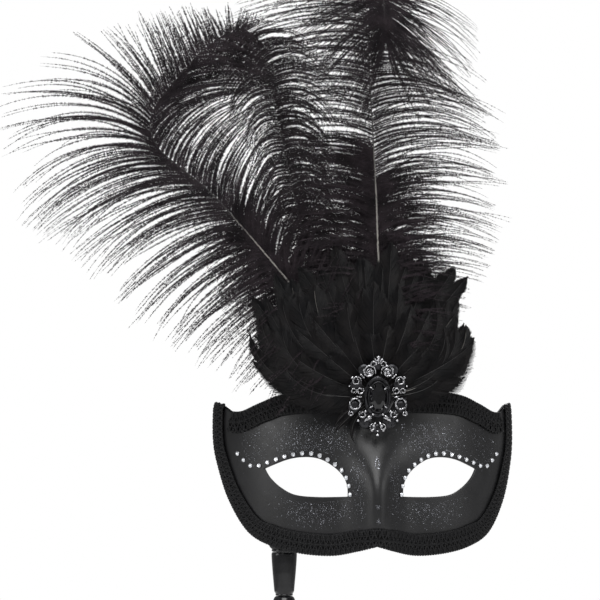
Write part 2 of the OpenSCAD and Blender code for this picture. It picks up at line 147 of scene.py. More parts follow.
def slopes(x, z):
    return (depth(x + 0.1, z) - depth(x - 0.1, z)) / 0.2, (depth(x, z + 0.1) - depth(x, z - 0.1)) / 0.2


def outward(x, z):
    sx, sz = slopes(x, z)
    return unit(np.stack([sx, -np.ones_like(sx), sz], -1))


def on_face(p, off=0.0):
    """Points on the surface at (x, z), moved off it by so much."""
    x, z = p[..., 0], p[..., 1]
    off = np.asarray(off, float)
    return np.stack([x, depth(x, z), z], -1) + off[..., None] * outward(x, z)


def stroll(p, q, dist, steps=6):
    """Walks over the surface from p in direction q, for a true distance."""
    p = p.copy()
    for _ in range(steps):
        sx, sz = slopes(p[..., 0], p[..., 1])
        rise = sx * q[..., 0] + sz * q[..., 1]
        p = p + q * (dist / steps / np.sqrt(1 + rise * rise))[..., None]
    return p


# ---------------------------------------------------------------- meshes
def grid_faces(rows, cols, closed=False, start=0):
    """Quads over rows x cols points; closed joins the last column to the first."""
    i, j = np.meshgrid(np.arange(rows - 1), np.arange(cols if closed else cols - 1), indexing="ij")
    a = i * cols + j
    b = i * cols + (j + 1) % cols
    return (np.stack([a, b, b + cols, a + cols], -1) + start).reshape(-1, 4)


def make(name, body, parts, material, replaces=(), smooth=True):
    """One object in the row frame from several (points, faces) pairs.

    A third entry in a pair is its material's index.
    """
    verts, faces, slots, n = [], [], [], 0
    for part in parts:
        v = np.asarray(part[0], float).reshape(-1, 3)
        f = part[1]
        verts.append(v)
        if isinstance(f, np.ndarray):
            faces.extend((f + n).tolist())
        else:
            faces.extend([[k + n for k in q] for q in f])
        slots.extend([part[2] if len(part) > 2 else 0] * len(f))
        n += len(v)
    mesh = bpy.data.meshes.new(name)
    mesh.from_pydata(np.vstack(verts) * MM, [], faces)
    for m in material if isinstance(material, (list, tuple)) else [material]:
        mesh.materials.append(m)
    if any(slots):
        mesh.polygons.foreach_set("material_index", slots)
    if smooth:
        mesh.polygons.foreach_set("use_smooth", [True] * len(mesh.polygons))
    mesh.update()
    obj = bpy.data.objects.new(name, mesh)
    bpy.context.scene.collection.objects.link(obj)
    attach(obj, body)
    if replaces:
        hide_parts(*replaces)
    return obj


def weld(obj, dist=1e-6):
    """Joins coincident points, and turns every closed part's faces outward."""
    bm = bmesh.new()
    bm.from_mesh(obj.data)
    bmesh.ops.remove_doubles(bm, verts=bm.verts, dist=dist)
    bmesh.ops.recalc_face_normals(bm, faces=bm.faces)
    bm.to_mesh(obj.data)
    bm.free()
    return obj


def sharpen(obj, degrees):
    """Edges steeper than this stay crisp."""
    bm = bmesh.new()
    bm.from_mesh(obj.data)
    for e in bm.edges:
        e.smooth = len(e.link_faces) == 2 and e.calc_face_angle(0) < math.radians(degrees)
    bm.to_mesh(obj.data)
    bm.free()
    return obj


def tube(path, radius, sides=8, flat=1.0, closed=False, normal=None, ends=True):
    """A round or flattened tube along a path. normal points along the thin side of a flattened one."""
    path = np.asarray(path, float)
    n = len(path)
    radius = np.broadcast_to(np.asarray(radius, float), (n,))
    if closed:
        t = unit(np.roll(path, -1, 0) - np.roll(path, 1, 0))
    else:
        t = tangents(path)
    if normal is None:
        up = np.zeros((n, 3))
        u = unit(np.cross(t[0], [0.31, 0.2, 0.93]))
        for i in range(n):
            u = unit(u - t[i] * (u @ t[i]))
            up[i] = u
    else:
        normal = np.broadcast_to(normal, (n, 3))
        up = unit(normal - t * np.sum(normal * t, -1, keepdims=True))
    side = np.cross(t, up)
    a = np.arange(sides) * 2 * np.pi / sides
    pts = (path[:, None] + radius[:, None, None] * (np.cos(a)[None, :, None] * side[:, None]
                                                    + flat * np.sin(a)[None, :, None] * up[:, None]))
    faces = grid_faces(n, sides, True).tolist()
    if closed:
        last = (n - 1) * sides
        faces += [[last + k, last + (k + 1) % sides, (k + 1) % sides, k] for k in range(sides)]
    elif ends:
        faces += [list(range(sides))[::-1], [(n - 1) * sides + k for k in range(sides)]]
    return pts.reshape(-1, 3), faces


def lathe(profile, centre, segments=96):
    """Turns (r, z) points round a vertical axis. The profile's ends lie on the axis or are left open."""
    profile = np.array(profile, float)
    a = np.arange(segments) * 2 * np.pi / segments
    ring = np.stack([np.cos(a), np.sin(a)], -1)
    heights = np.repeat(profile[:, None, 1:], segments, 1)
    pts = np.concatenate([profile[:, None, :1] * ring[None], heights], -1)
    return pts.reshape(-1, 3) + [*centre, 0.0], grid_faces(len(profile), segments, True)


def rounded(profile, radius=0.35, steps=4):
    """The same (r, z) profile with its corners rounded."""
    p = np.array(profile, float)
    out = [p[0]]
    for a, b, c in zip(p[:-2], p[1:-1], p[2:]):
        r = min(radius, 0.45 * np.linalg.norm(b - a), 0.45 * np.linalg.norm(c - b))
        s, e = b + unit(a - b) * r, b + unit(c - b) * r
        for t in np.linspace(0, 1, steps):
            out.append((1 - t) ** 2 * s + 2 * t * (1 - t) * b + t * t * e)
    return np.array(out + [p[-1]])


def hull(points):
    """The convex hull of a few points, as (points, faces)."""
    bm = bmesh.new()
    for p in points:
        bm.verts.new(p)
    bmesh.ops.convex_hull(bm, input=bm.verts)
    bmesh.ops.dissolve_limit(bm, angle_limit=0.01, verts=bm.verts, edges=bm.edges)
    bm.verts.index_update()
    v = np.array([v.co[:] for v in bm.verts])
    f = [[v.index for v in q.verts] for q in bm.faces]
    bm.free()
    return v, f


def oval(rx, ry, n, w=0.0, turn=0.0):
    a = turn + np.arange(n) * 2 * np.pi / n
    return [(rx * math.cos(k), ry * math.sin(k), w) for k in a]


def ball(centre, r, segments=14):
    """A bead with its poles, small enough that its facets don't show."""
    t = np.linspace(0.001, np.pi - 0.001, segments // 2 + 2)
    v, f = lathe(np.stack([np.sin(t) * r, np.cos(t) * r], -1), (0, 0), segments)
    return v + np.asarray(centre, float), f


# ---------------------------------------------------------------- materials
def new_material(name):
    m = bpy.data.materials.new(name)
    m.use_nodes = True
    m.node_tree.nodes.clear()
    out = m.node_tree.nodes.new("ShaderNodeOutputMaterial")
    shader = m.node_tree.nodes.new("ShaderNodeBsdfPrincipled")
    m.node_tree.links.new(shader.outputs[0], out.inputs[0])
    return m, m.node_tree, shader


def add(tree, kind, inputs=(), **settings):
    node = tree.nodes.new(kind)
    for key, value in settings.items():
        setattr(node, key, value)
    for key, value in dict(inputs).items():
        if isinstance(value, bpy.types.NodeSocket):
            tree.links.new(value, node.inputs[key])
        else:
            node.inputs[key].default_value = value
    return node


def object_place(tree):
    return add(tree, "ShaderNodeTexCoord").outputs["Object"]


def noise(tree, scale):
    inputs = {"Vector": object_place(tree), "Scale": scale, "Detail": 4.0, "Roughness": 0.55}
    return add(tree, "ShaderNodeTexNoise", inputs).outputs["Fac"]


def ramp(tree, fac, low, high, start=0.35, end=0.65):
    """A colour between low and high as fac goes from start to end."""
    node = add(tree, "ShaderNodeValToRGB", {"Fac": fac})
    for e, pos, col in zip(node.color_ramp.elements, (start, end), (low, high)):
        e.position, e.color = pos, (*col, 1)
    return node.outputs["Color"]


def spread(tree, fac, low, high, start=0.3, end=0.7):
    return add(tree, "ShaderNodeMapRange", {"Value": fac, "From Min": start, "From Max": end, "To Min": low,
                                            "To Max": high}).outputs["Result"]


def bump(tree, height, strength, distance, normal=None):
    inputs = {"Height": height, "Strength": strength, "Distance": distance}
    if normal is not None:
        inputs["Normal"] = normal
    return add(tree, "ShaderNodeBump", inputs).outputs["Normal"]


def dress(tree, shader, colour, rough, normal, constants=()):
    """Links the inputs that vary over the surface, and sets the ones that don't."""
    for key, socket in (("Base Color", colour), ("Roughness", rough), ("Normal", normal)):
        if socket is not None:
            tree.links.new(socket, shader.inputs[key])
    for key, value in dict(constants).items():
        shader.inputs[key].default_value = value


def finish_material(name, low, high, rough, tone_scale, bumps, constants=()):
    """Colour and roughness wander between two values; bumps = [(scale, strength, distance), ...]."""
    m, tree, shader = new_material(name)
    normal = None
    for scale, strength, distance in bumps:
        normal = bump(tree, noise(tree, scale), strength, distance, normal)
    dress(tree, shader, ramp(tree, noise(tree, tone_scale), low, high),
          spread(tree, noise(tree, tone_scale * 2.3), *rough), normal, constants)
    return m


def shell_material():
    """Satin black skin with the fine grain of coated leatherette."""
    m, tree, shader = new_material("satin_black")
    grain = add(tree, "ShaderNodeTexVoronoi", {"Vector": object_place(tree), "Scale": 1500.0},
                feature="SMOOTH_F1").outputs["Distance"]
    dress(tree, shader, ramp(tree, noise(tree, 60.0), (0.0045, 0.0045, 0.005), (0.0085, 0.0085, 0.0093)),
          spread(tree, noise(tree, 160.0), 0.34, 0.44),
          bump(tree, noise(tree, 900.0), 0.12, 0.0002, bump(tree, grain, 0.16, 0.0002)),
          {"Specular IOR Level": 0.32, "Coat Weight": 0.06, "Coat Roughness": 0.3})
    return m


def cord_material(name, low, high):
    """Rayon cord: tight twisted yarn with a soft shine."""
    m, tree, shader = new_material(name)
    inputs = {"Vector": object_place(tree), "Scale": 900.0, "Distortion": 6.0, "Detail": 2.0,
              "Detail Scale": 2.0}
    yarn = add(tree, "ShaderNodeTexWave", inputs, bands_direction="DIAGONAL").outputs["Fac"]
    dress(tree, shader, ramp(tree, yarn, low, high), spread(tree, noise(tree, 1500.0), 0.36, 0.56),
          bump(tree, yarn, 0.5, 0.0002), {"Specular IOR Level": 0.16})
    return m


def metal_material(name, low, high, rough):
    """Cast metal: bright where it is rubbed, dark in its hollows."""
    m, tree, shader = new_material(name)
    worn = add(tree, "ShaderNodeNewGeometry").outputs["Pointiness"]
    mixed = add(tree, "ShaderNodeMath", {0: worn, 1: noise(tree, 1400.0)}, operation="ADD").outputs[0]
    dress(tree, shader, ramp(tree, mixed, low, high, 0.88, 1.12), spread(tree, noise(tree, 2200.0), *rough),
          bump(tree, noise(tree, 1700.0), 0.25, 0.0002), {"Metallic": 1.0})
    return m


def quill_material(name, pale_to, dark_from):
    """A dyed quill whose bare root stays pale: it darkens between two heights, in metres."""
    m, tree, shader = new_material(name)
    height = add(tree, "ShaderNodeSeparateXYZ", {"Vector": object_place(tree)}).outputs["Z"]
    fleck = spread(tree, noise(tree, 500.0), -0.012, 0.012)
    mixed = add(tree, "ShaderNodeMath", {0: height, 1: fleck}, operation="ADD").outputs[0]
    dyed = spread(tree, mixed, 0.0, 1.0, pale_to, dark_from)
    dress(tree, shader, ramp(tree, dyed, (0.2, 0.19, 0.175), (0.012, 0.0105, 0.0105), 0.0, 1.0),
          spread(tree, noise(tree, 240.0), 0.3, 0.45), bump(tree, noise(tree, 1800.0), 0.2, 0.0002),
          {"Coat Weight": 0.15, "Coat Roughness": 0.25})
    return m


SATIN = shell_material()
FELT = finish_material("black_felt", (0.006, 0.006, 0.007), (0.02, 0.02, 0.022), (0.86, 0.98), 700.0,
                       [(2600.0, 0.7, 0.0004), (320.0, 0.3, 0.0005)],
                       {"Sheen Weight": 0.35, "Sheen Roughness": 0.5, "Specular IOR Level": 0.2})
CORD = cord_material("black_gimp_cord", (0.001, 0.001, 0.0012), (0.0105, 0.0105, 0.0115))
# The braid's ground: the same black yarn as the cords, darkened as painted shade under the cords
GROUND_CORD_PAINTED_SHADE = cord_material("black_gimp_ground_painted_shade", (0.0006, 0.0006, 0.0008), (0.002, 0.002, 0.0025))
GUNMETAL = metal_material("antique_gunmetal", (0.006, 0.006, 0.0065), (0.04, 0.04, 0.043), (0.25, 0.42))
SILVER = metal_material("rubbed_silver", (0.04, 0.04, 0.043), (0.5, 0.5, 0.52), (0.12, 0.24))
CUP_METAL = metal_material("stone_cup_metal", (0.2, 0.2, 0.21), (0.6, 0.6, 0.62), (0.15, 0.3))
GLITTER = finish_material("silver_glitter", (0.04, 0.043, 0.05), (0.42, 0.43, 0.47), (0.16, 0.36), 900.0, [],
                          {"Metallic": 1.0})
CRYSTAL = finish_material("foiled_crystal", (0.6, 0.62, 0.66), (0.85, 0.87, 0.9), (0.04, 0.1), 800.0, [],
                          {"Metallic": 0.55, "Coat Weight": 1.0, "Coat Roughness": 0.03})
JET = finish_material("black_facets", (0.001, 0.001, 0.0013), (0.004, 0.004, 0.005), (0.02, 0.06), 300.0, [],
                      {"Specular IOR Level": 0.45, "Coat Weight": 0.15, "Coat Roughness": 0.02})
LACQUER = finish_material("glossy_black_lacquer", (0.004, 0.004, 0.0045), (0.008, 0.008, 0.009), (0.12, 0.2),
                          90.0, [(700.0, 0.05, 0.0002), (60.0, 0.12, 0.0004)],
                          {"Specular IOR Level": 0.3, "Coat Weight": 0.15, "Coat Roughness": 0.06})
GLUE = finish_material("set_glue", (0.012, 0.012, 0.014), (0.03, 0.03, 0.034), (0.25, 0.45), 150.0,
                       [(260.0, 0.5, 0.001)], {"Coat Weight": 0.3, "Coat Roughness": 0.2})
PALE_QUILL = finish_material("pale_quill", (0.07, 0.067, 0.06), (0.16, 0.15, 0.135), (0.3, 0.45), 120.0,
                             [(1800.0, 0.2, 0.0002)], {"Coat Weight": 0.2, "Coat Roughness": 0.25})
DARK_QUILL = finish_material("dyed_quill", (0.003, 0.003, 0.0032), (0.014, 0.013, 0.013), (0.35, 0.5), 200.0,
                             [(1800.0, 0.2, 0.0002)])
BARB = finish_material("ostrich_barbs", (0.008, 0.0062, 0.0075), (0.026, 0.02, 0.0235), (0.5, 0.7), 90.0, [],
                       {"Specular IOR Level": 0.12})
HACKLE = finish_material("cock_hackle", (0.0016, 0.0016, 0.0021), (0.006, 0.0052, 0.0054), (0.36, 0.52),
                         110.0, [], {"Specular IOR Level": 0.09})


# ---------------------------------------------------------------- shell, lining and glitter
def reach(centre, dirs, loop):
    """How far from the centre, along each direction, a closed loop is met."""
    a = loop - centre
    e = np.roll(loop, -1, 0) - loop
    across = dirs[:, None, 0] * e[None, :, 1] - dirs[:, None, 1] * e[None, :, 0]
    across = np.where(np.abs(across) < 1e-9, 1e-9, across)
    t = (a[None, :, 0] * e[None, :, 1] - a[None, :, 1] * e[None, :, 0]) / across
    u = (a[None, :, 0] * dirs[:, None, 1] - a[None, :, 1] * dirs[:, None, 0]) / across
    return np.where((t > 0) & (u >= -1e-6) & (u <= 1 + 1e-6), t, np.inf).min(1)


EYE_LOOP = np.vstack([curve(EYE_TOP, 16)[:-1], curve(EYE_LOW, 16)[:-1]])
MIDDLE_POINTS = 70


def ring_grid(inset, rows):
    """(columns, rows, 2) points of the right half: columns go round the eye, rows from opening to rim."""
    low, high = SIDE_EDGE[-1][1] + inset, TOP_EDGE[0][1] - inset
    middle = np.stack([np.zeros(MIDDLE_POINTS), np.linspace(low, high, MIDDLE_POINTS, endpoint=False)], -1)
    outer = np.vstack([curve(TOP_EDGE, 16)[:-1], curve(SIDE_EDGE, 16)[:-1]])
    outer = outer - inset * unit(outer - EYE_CENTRE) * (outer[:, :1] > 1e-6)
    outer[0, 1] = high
    rim = np.vstack([middle, outer])
    d = unit(rim - EYE_CENTRE)
    hole = EYE_CENTRE + d * (reach(EYE_CENTRE, d, EYE_LOOP) + inset)[:, None]
    s = np.linspace(0, 1, rows) ** 1.15
    return hole[:, None] + (rim - hole)[:, None] * s[None, :, None]


def layer_parts(front, back, inset, rows, lip):
    """Both halves of a layer of the mask. lip rounds the edge of the eye opening."""
    half = ring_grid(inset, rows)
    cols = len(half)
    parts = []
    for side in (1, -1):
        p = half * np.array([side, 1])
        f, b = on_face(p, front), on_face(p, back)
        mid = on_face(p[:, 0], (front + back) / 2)
        # The edge of the opening: two soft steps between front and back
        f[:, 0] += (mid - f[:, 0]) * lip
        b[:, 0] += (mid - b[:, 0]) * lip
        edge = np.stack([f[:, 0], mid + unit(mid - f[:, 1]) * lip * 0.3, b[:, 0]], 1)
        rim = np.stack([f[:, -1], b[:, -1]], 1)
        for pts, flip in ((f, side > 0), (b, side < 0), (edge, side < 0), (rim, side > 0)):
            q = grid_faces(cols, pts.shape[1])
            wrap = [[(cols - 1) * pts.shape[1] + k, (cols - 1) * pts.shape[1] + k + 1, k + 1, k]
                    for k in range(pts.shape[1] - 1)]
            q = np.vstack([q, wrap])
            if pts is rim:  # the middle line is inside the mask, so it gets no edge
                keep = np.abs(pts[q[:, 0] // 2, 0, 0]) + np.abs(pts[q[:, 2] // 2, 0, 0]) > 1e-6
                q = q[keep]
            parts.append((pts.reshape(-1, 3), q[:, ::-1] if flip else q))
    return parts


def mask_shell():
    obj = make("mask_shell_skin", "mask", layer_parts(0.0, -SHELL_T, 0.0, 44, 0.3), SATIN, ["mask_shell"])
    return sharpen(weld(obj), 60)


def felt_lining():
    front = -SHELL_T - LAYER_GAP
    parts = layer_parts(front, front - LINING_T, 1.5, 44, 0.35)
    obj = make("felt_lining_pad", "mask", parts, FELT, ["felt_lining"])
    return sharpen(weld(obj), 60)


def in_eye(x, z, margin):
    """True inside the eye opening grown by a margin."""
    p = np.stack([np.abs(x), z], -1) - EYE_CENTRE
    r = np.linalg.norm(p, axis=-1)
    d = unit(p)
    return r < reach(EYE_CENTRE, d, EYE_LOOP) + margin


def lace(x, z):
    """0 to 1: how thickly the glitter lies, in scrolls over and under the eyes and down the nose."""
    ax = np.abs(x)
    over = np.exp(-((ax - 33) / 19) ** 4 - ((z - 20.5 + 0.005 * (ax - 33) ** 2) / 8.5) ** 4)
    under = np.exp(-((ax - 31) / 18) ** 4 - ((z + 19 - 0.012 * (ax - 31) ** 2) / 8) ** 4)
    beside = np.exp(-((ax - 9.5) / 3.2) ** 4 - ((z + 8) / 16) ** 4)
    temple = 0.5 * np.exp(-((ax - 63) / 7) ** 4 - ((z - 16) / 11) ** 4)
    swirl = np.sin(0.55 * ax + 2.2 * np.sin(0.21 * z + 0.9)) * np.sin(0.5 * z + 2.4 * np.sin(0.17 * ax))
    lines = np.where(z < -6, 0.3 + 0.35 * (np.abs(swirl) > 0.32), 0.45 + 0.55 * (np.abs(swirl) > 0.32))
    return np.clip(np.maximum.reduce([over, under, beside * 1.1, temple]) * lines, 0, 1)


FLAKE_TRIES, FLAKE_LIFT = 110000, 0.12


def flakes(points, size, rng):
    """Small tilted hexagons that lie on the surface."""
    n = outward(points[:, 0], points[:, 1])
    n = unit(n + rng.normal(0, 0.24, n.shape))
    u = unit(np.cross(n, unit(rng.normal(size=n.shape))))
    v = np.cross(n, u)
    c = on_face(points, FLAKE_LIFT)
    a = np.arange(6) * np.pi / 3
    ring = c[:, None] + size[:, None, None] * (np.cos(a)[None, :, None] * u[:, None]
                                               + np.sin(a)[None, :, None] * v[:, None])
    f = np.arange(len(points) * 6).reshape(-1, 6)
    return ring.reshape(-1, 3), f


def glitter():
    rng = np.random.default_rng(11)
    x, z = rng.uniform(-76, 76, FLAKE_TRIES), rng.uniform(-34, 40, FLAKE_TRIES)
    keep = (rng.random(FLAKE_TRIES) < 0.34 * lace(x, z)) & ~in_eye(x, z, 3.0)
    p = np.stack([x, z], -1)[keep]
    size = rng.uniform(0.08, 0.17, len(p))
    # A small motif on the bridge, and two dots below it
    a = rng.uniform(0, 2 * np.pi, 90)
    motif = np.stack([1.5 * np.cos(a) * rng.uniform(0.4, 1, 90),
                      6.5 + 3.6 * np.sin(a) * rng.uniform(0.4, 1, 90)], -1)
    dots = np.concatenate([rng.normal(0, 0.45, (26, 2)) + [0, -16.5],
                           rng.normal(0, 0.45, (26, 2)) + [0, -24.0]])
    extra = np.vstack([motif, dots])
    pts, f = flakes(np.vstack([p, extra]), np.concatenate([size, rng.uniform(0.12, 0.2, len(extra))]), rng)
    return make("glitter_flakes", "mask", [(pts, f)], GLITTER, smooth=False)


# ---------------------------------------------------------------- braid: gimp with looped edges
BRAID_PITCH = 3.1


def braid_map(path):
    """A function from (length along, distance across, height) to a point on the mask."""
    path = along(path, np.linspace(0, 1, 500))
    t = tangents(path)
    inward = np.stack([t[:, 1], -t[:, 0]], -1)
    near = np.clip(1 - np.abs(path[:, :1]) / 16, 0, 1) ** 0.7 * (path[:, 1:] < 0)
    inward = unit(inward * (1 - near) + near * np.array([0.0, 1.0]))
    ell = lengths(on_face(path))
    across = np.linspace(-BRAID_OVER, BRAID_W - BRAID_OVER, 14)
    rows = np.stack([stroll(path, inward, np.full(len(path), w)) for w in across], 1)

    def place(along_mm, w, h):
        i = np.interp(along_mm, ell, np.arange(len(ell)))
        j = np.interp(w, across, np.arange(len(across)))
        i0, j0 = np.minimum(i.astype(int), len(ell) - 2), np.minimum(j.astype(int), len(across) - 2)
        fi, fj = (i - i0)[..., None], (j - j0)[..., None]
        p = ((1 - fi) * (1 - fj) * rows[i0, j0] + fi * (1 - fj) * rows[i0 + 1, j0]
             + (1 - fi) * fj * rows[i0, j0 + 1] + fi * fj * rows[i0 + 1, j0 + 1])
        return on_face(p, h), outward(p[..., 0], p[..., 1])

    return place, ell[-1]


def braid(where, path):
    place, total = braid_map(path)
    loops = int(round(total / BRAID_PITCH))
    pitch = total / loops
    parts = []
    # Ground: a thin woven strip under the cords, in the same yarn coloured darker as painted shade
    ground_w = np.linspace(0.0, BRAID_W - 2 * BRAID_OVER + 0.2, 9)
    ground_l = np.linspace(0.2, total - 0.2, loops * 3)
    gl, gw = np.meshgrid(ground_l, ground_w, indexing="ij")
    top, _ = place(gl, gw, 0.75 + 0.12 * np.cos(gl * 2 * np.pi / pitch) * np.cos(gw * 2))
    low, _ = place(gl, gw, np.full_like(gl, 0.12))
    n, m = gl.shape
    parts.append((top.reshape(-1, 3), grid_faces(n, m), 1))
    parts.append((low.reshape(-1, 3), grid_faces(n, m)[:, ::-1], 1))
    for k in (0, m - 1):
        wall = np.stack([top[:, k], low[:, k]], 1)
        q = grid_faces(n, 2)
        parts.append((wall.reshape(-1, 3), q if k else q[:, ::-1], 1))
    # Two cords that swing from edge to edge and cross over each other
    half = (BRAID_W - 0.5) / 2
    mid = half - BRAID_OVER + 0.45
    steps = 22
    t = np.linspace(0, 2 * np.pi * loops, loops * steps + 1)
    for phase, level in ((0, 1), (math.pi, -1)):
        a = t + phase
        ell = pitch * t / (2 * np.pi) + 0.3 * pitch * np.sin(2 * a)
        w = mid + half * np.sin(a)
        h = 1.05 + 0.3 * level * np.cos(a)
        p, nrm = place(np.clip(ell, 0.1, total - 0.1), w, h)
        parts.append((*tube(p, 0.58, 7, 0.8, normal=nrm), 0))
    # A plaited pair down the middle, and a thin cord along each side of it
    for phase in (0, math.pi):
        a = t * 2 + phase
        p, nrm = place(np.clip(pitch * t / (2 * np.pi), 0.1, total - 0.1), mid + 0.5 * np.sin(a),
                       1.5 + 0.2 * np.cos(2 * a))
        parts.append((*tube(p, 0.4, 6, 0.9, normal=nrm), 0))
    for off in (-2.7, 2.7):
        a = np.linspace(0.3, total - 0.3, loops * 6)
        p, nrm = place(a, np.full_like(a, mid + off), 1.35 + 0.12 * np.sin(a * 2 * np.pi / pitch))
        parts.append((*tube(p, 0.3, 6, normal=nrm), 0))
    make(where + "_gimp_braid", "mask", parts, [CORD, GROUND_CORD_PAINTED_SHADE], [where + "_braid"])


def braids():
    top = curve(TOP_EDGE, 12)
    top = top[top[:, 0] < 73.5]
    mirror = np.array([-1, 1])
    whole = np.vstack([(top * mirror)[::-1][:-1], top])
    side = curve(SIDE_EDGE, 12)
    braid("top", whole)
    braid("right", side)
    braid("left", (side * mirror)[::-1])


# ---------------------------------------------------------------- stones
def placed(part, origins, u, v, w):
    """Copies of a small (points, faces) part at many places, with its x, y and z along u, v and w."""
    pts, faces = part
    n = len(pts)
    x, y, z = pts[None, :, :1], pts[None, :, 1:2], pts[None, :, 2:]
    out = origins[:, None] + x * u[:, None] + y * v[:, None] + z * w[:, None]
    return out.reshape(-1, 3), [[k + i * n for k in f] for i in range(len(origins)) for f in faces]


def surface_frames(p):
    w = outward(p[:, 0], p[:, 1])
    u = unit(np.cross(UP, w))
    return u, np.cross(w, u), w


def cut_stone(r, height):
    """A round brilliant's crown: table, two rings of facets and a thin girdle."""
    k = math.pi / 8
    return hull(oval(r * 0.5, r * 0.5, 8, height) + oval(r * 0.82, r * 0.82, 8, height * 0.62, k)
                + oval(r, r, 16, height * 0.18, k / 2) + oval(r, r, 16, 0, k / 2))


def eye_stones(where, side):
    line = curve(STONE_LINE, 12)
    p = along(line, np.linspace(0, 1, STONES)) * np.array([side, 1])
    u, v, w = surface_frames(p)
    stones = placed(cut_stone(STONE_R * 0.95, 0.95), on_face(p, 0.5), u, v, w)
    cup = lathe(rounded([(0.3, 0.05), (STONE_R, 0.05), (STONE_R * 1.1, 0.4), (STONE_R * 1.02, 0.66),
                         (STONE_R * 0.8, 0.6)], 0.1, 3), (0, 0), 20)
    cups = placed((cup[0], cup[1].tolist()), on_face(p, 0.0), u, v, w)
    name = where + "_eye_crystals"
    make(name, "mask", [stones], CRYSTAL, [where + "_eye_stones"], smooth=False)
    make(name + "_cups", "mask", [cups], CUP_METAL)


# ---------------------------------------------------------------- brooch
def brooch_point(p):
    """From the brooch's own (right, up, out) to the row frame."""
    p = np.asarray(p, float)
    a = math.radians(90 + BROOCH_TILT)
    y = p[..., 1] * math.cos(a) - p[..., 2] * math.sin(a)
    z = p[..., 1] * math.sin(a) + p[..., 2] * math.cos(a)
    return np.stack([p[..., 0], BROOCH_Y + y, BROOCH_Z + z], -1)


def scroll(cx, cy, r, start, turns, hand, wire=0.62):
    """A spiral wire that tightens as it goes."""
    s = np.linspace(0, 1, int(34 * turns) + 8)
    a = math.radians(start) + hand * s * turns * 2 * math.pi
    rad = r * (1 - 0.62 * s ** 1.2)
    path = np.stack([cx + rad * np.cos(a), cy + rad * np.sin(a), 2.2 + 0.5 * np.sin(s * math.pi)], -1)
    radius = wire * (0.25 + 0.75 * np.minimum(1, np.minimum(s * 5, 1.3 - 0.5 * s)))
    return tube(path, radius, 9)


def both(items):
    """The same part on the right and, mirrored, on the left."""
    out = []
    for pts, faces in items:
        out.append((pts, faces))
        out.append((pts * np.array([-1, 1, 1]), [list(f)[::-1] for f in faces]))
    return out


def leaf(cx, cy, turn, length, width, w=1.5):
    """A small cast leaf with a ridge down its middle."""
    rows, cols = 12, 9
    s = np.linspace(0, 1, rows)
    v = np.linspace(-1, 1, cols)
    ss, vv = np.meshgrid(s, v, indexing="ij")
    half = width / 2 * np.sin(np.pi * ss ** 0.8) ** 0.8
    x, y = ss * length, vv * half
    edge = np.abs(vv)
    z = w + 1.1 * (1 - edge ** 1.4) * np.sin(np.pi * ss) ** 0.6 + 0.35 * edge * (1 - edge) * 2
    a = math.radians(turn)
    pts = np.stack([cx + x * math.cos(a) - y * math.sin(a), cy + x * math.sin(a) + y * math.cos(a), z], -1)
    low = pts.copy()
    low[..., 2] = w - 0.5
    f = grid_faces(rows, cols)
    pts = np.vstack([pts.reshape(-1, 3), low.reshape(-1, 3)])
    return pts, np.vstack([f, f[:, ::-1] + rows * cols]).tolist()


ROUND = 40


def ring(cx, cy, r, wire, w):
    return tube(np.array(oval(r, r, ROUND, w)) + [cx, cy, 0], wire, 10, closed=True)


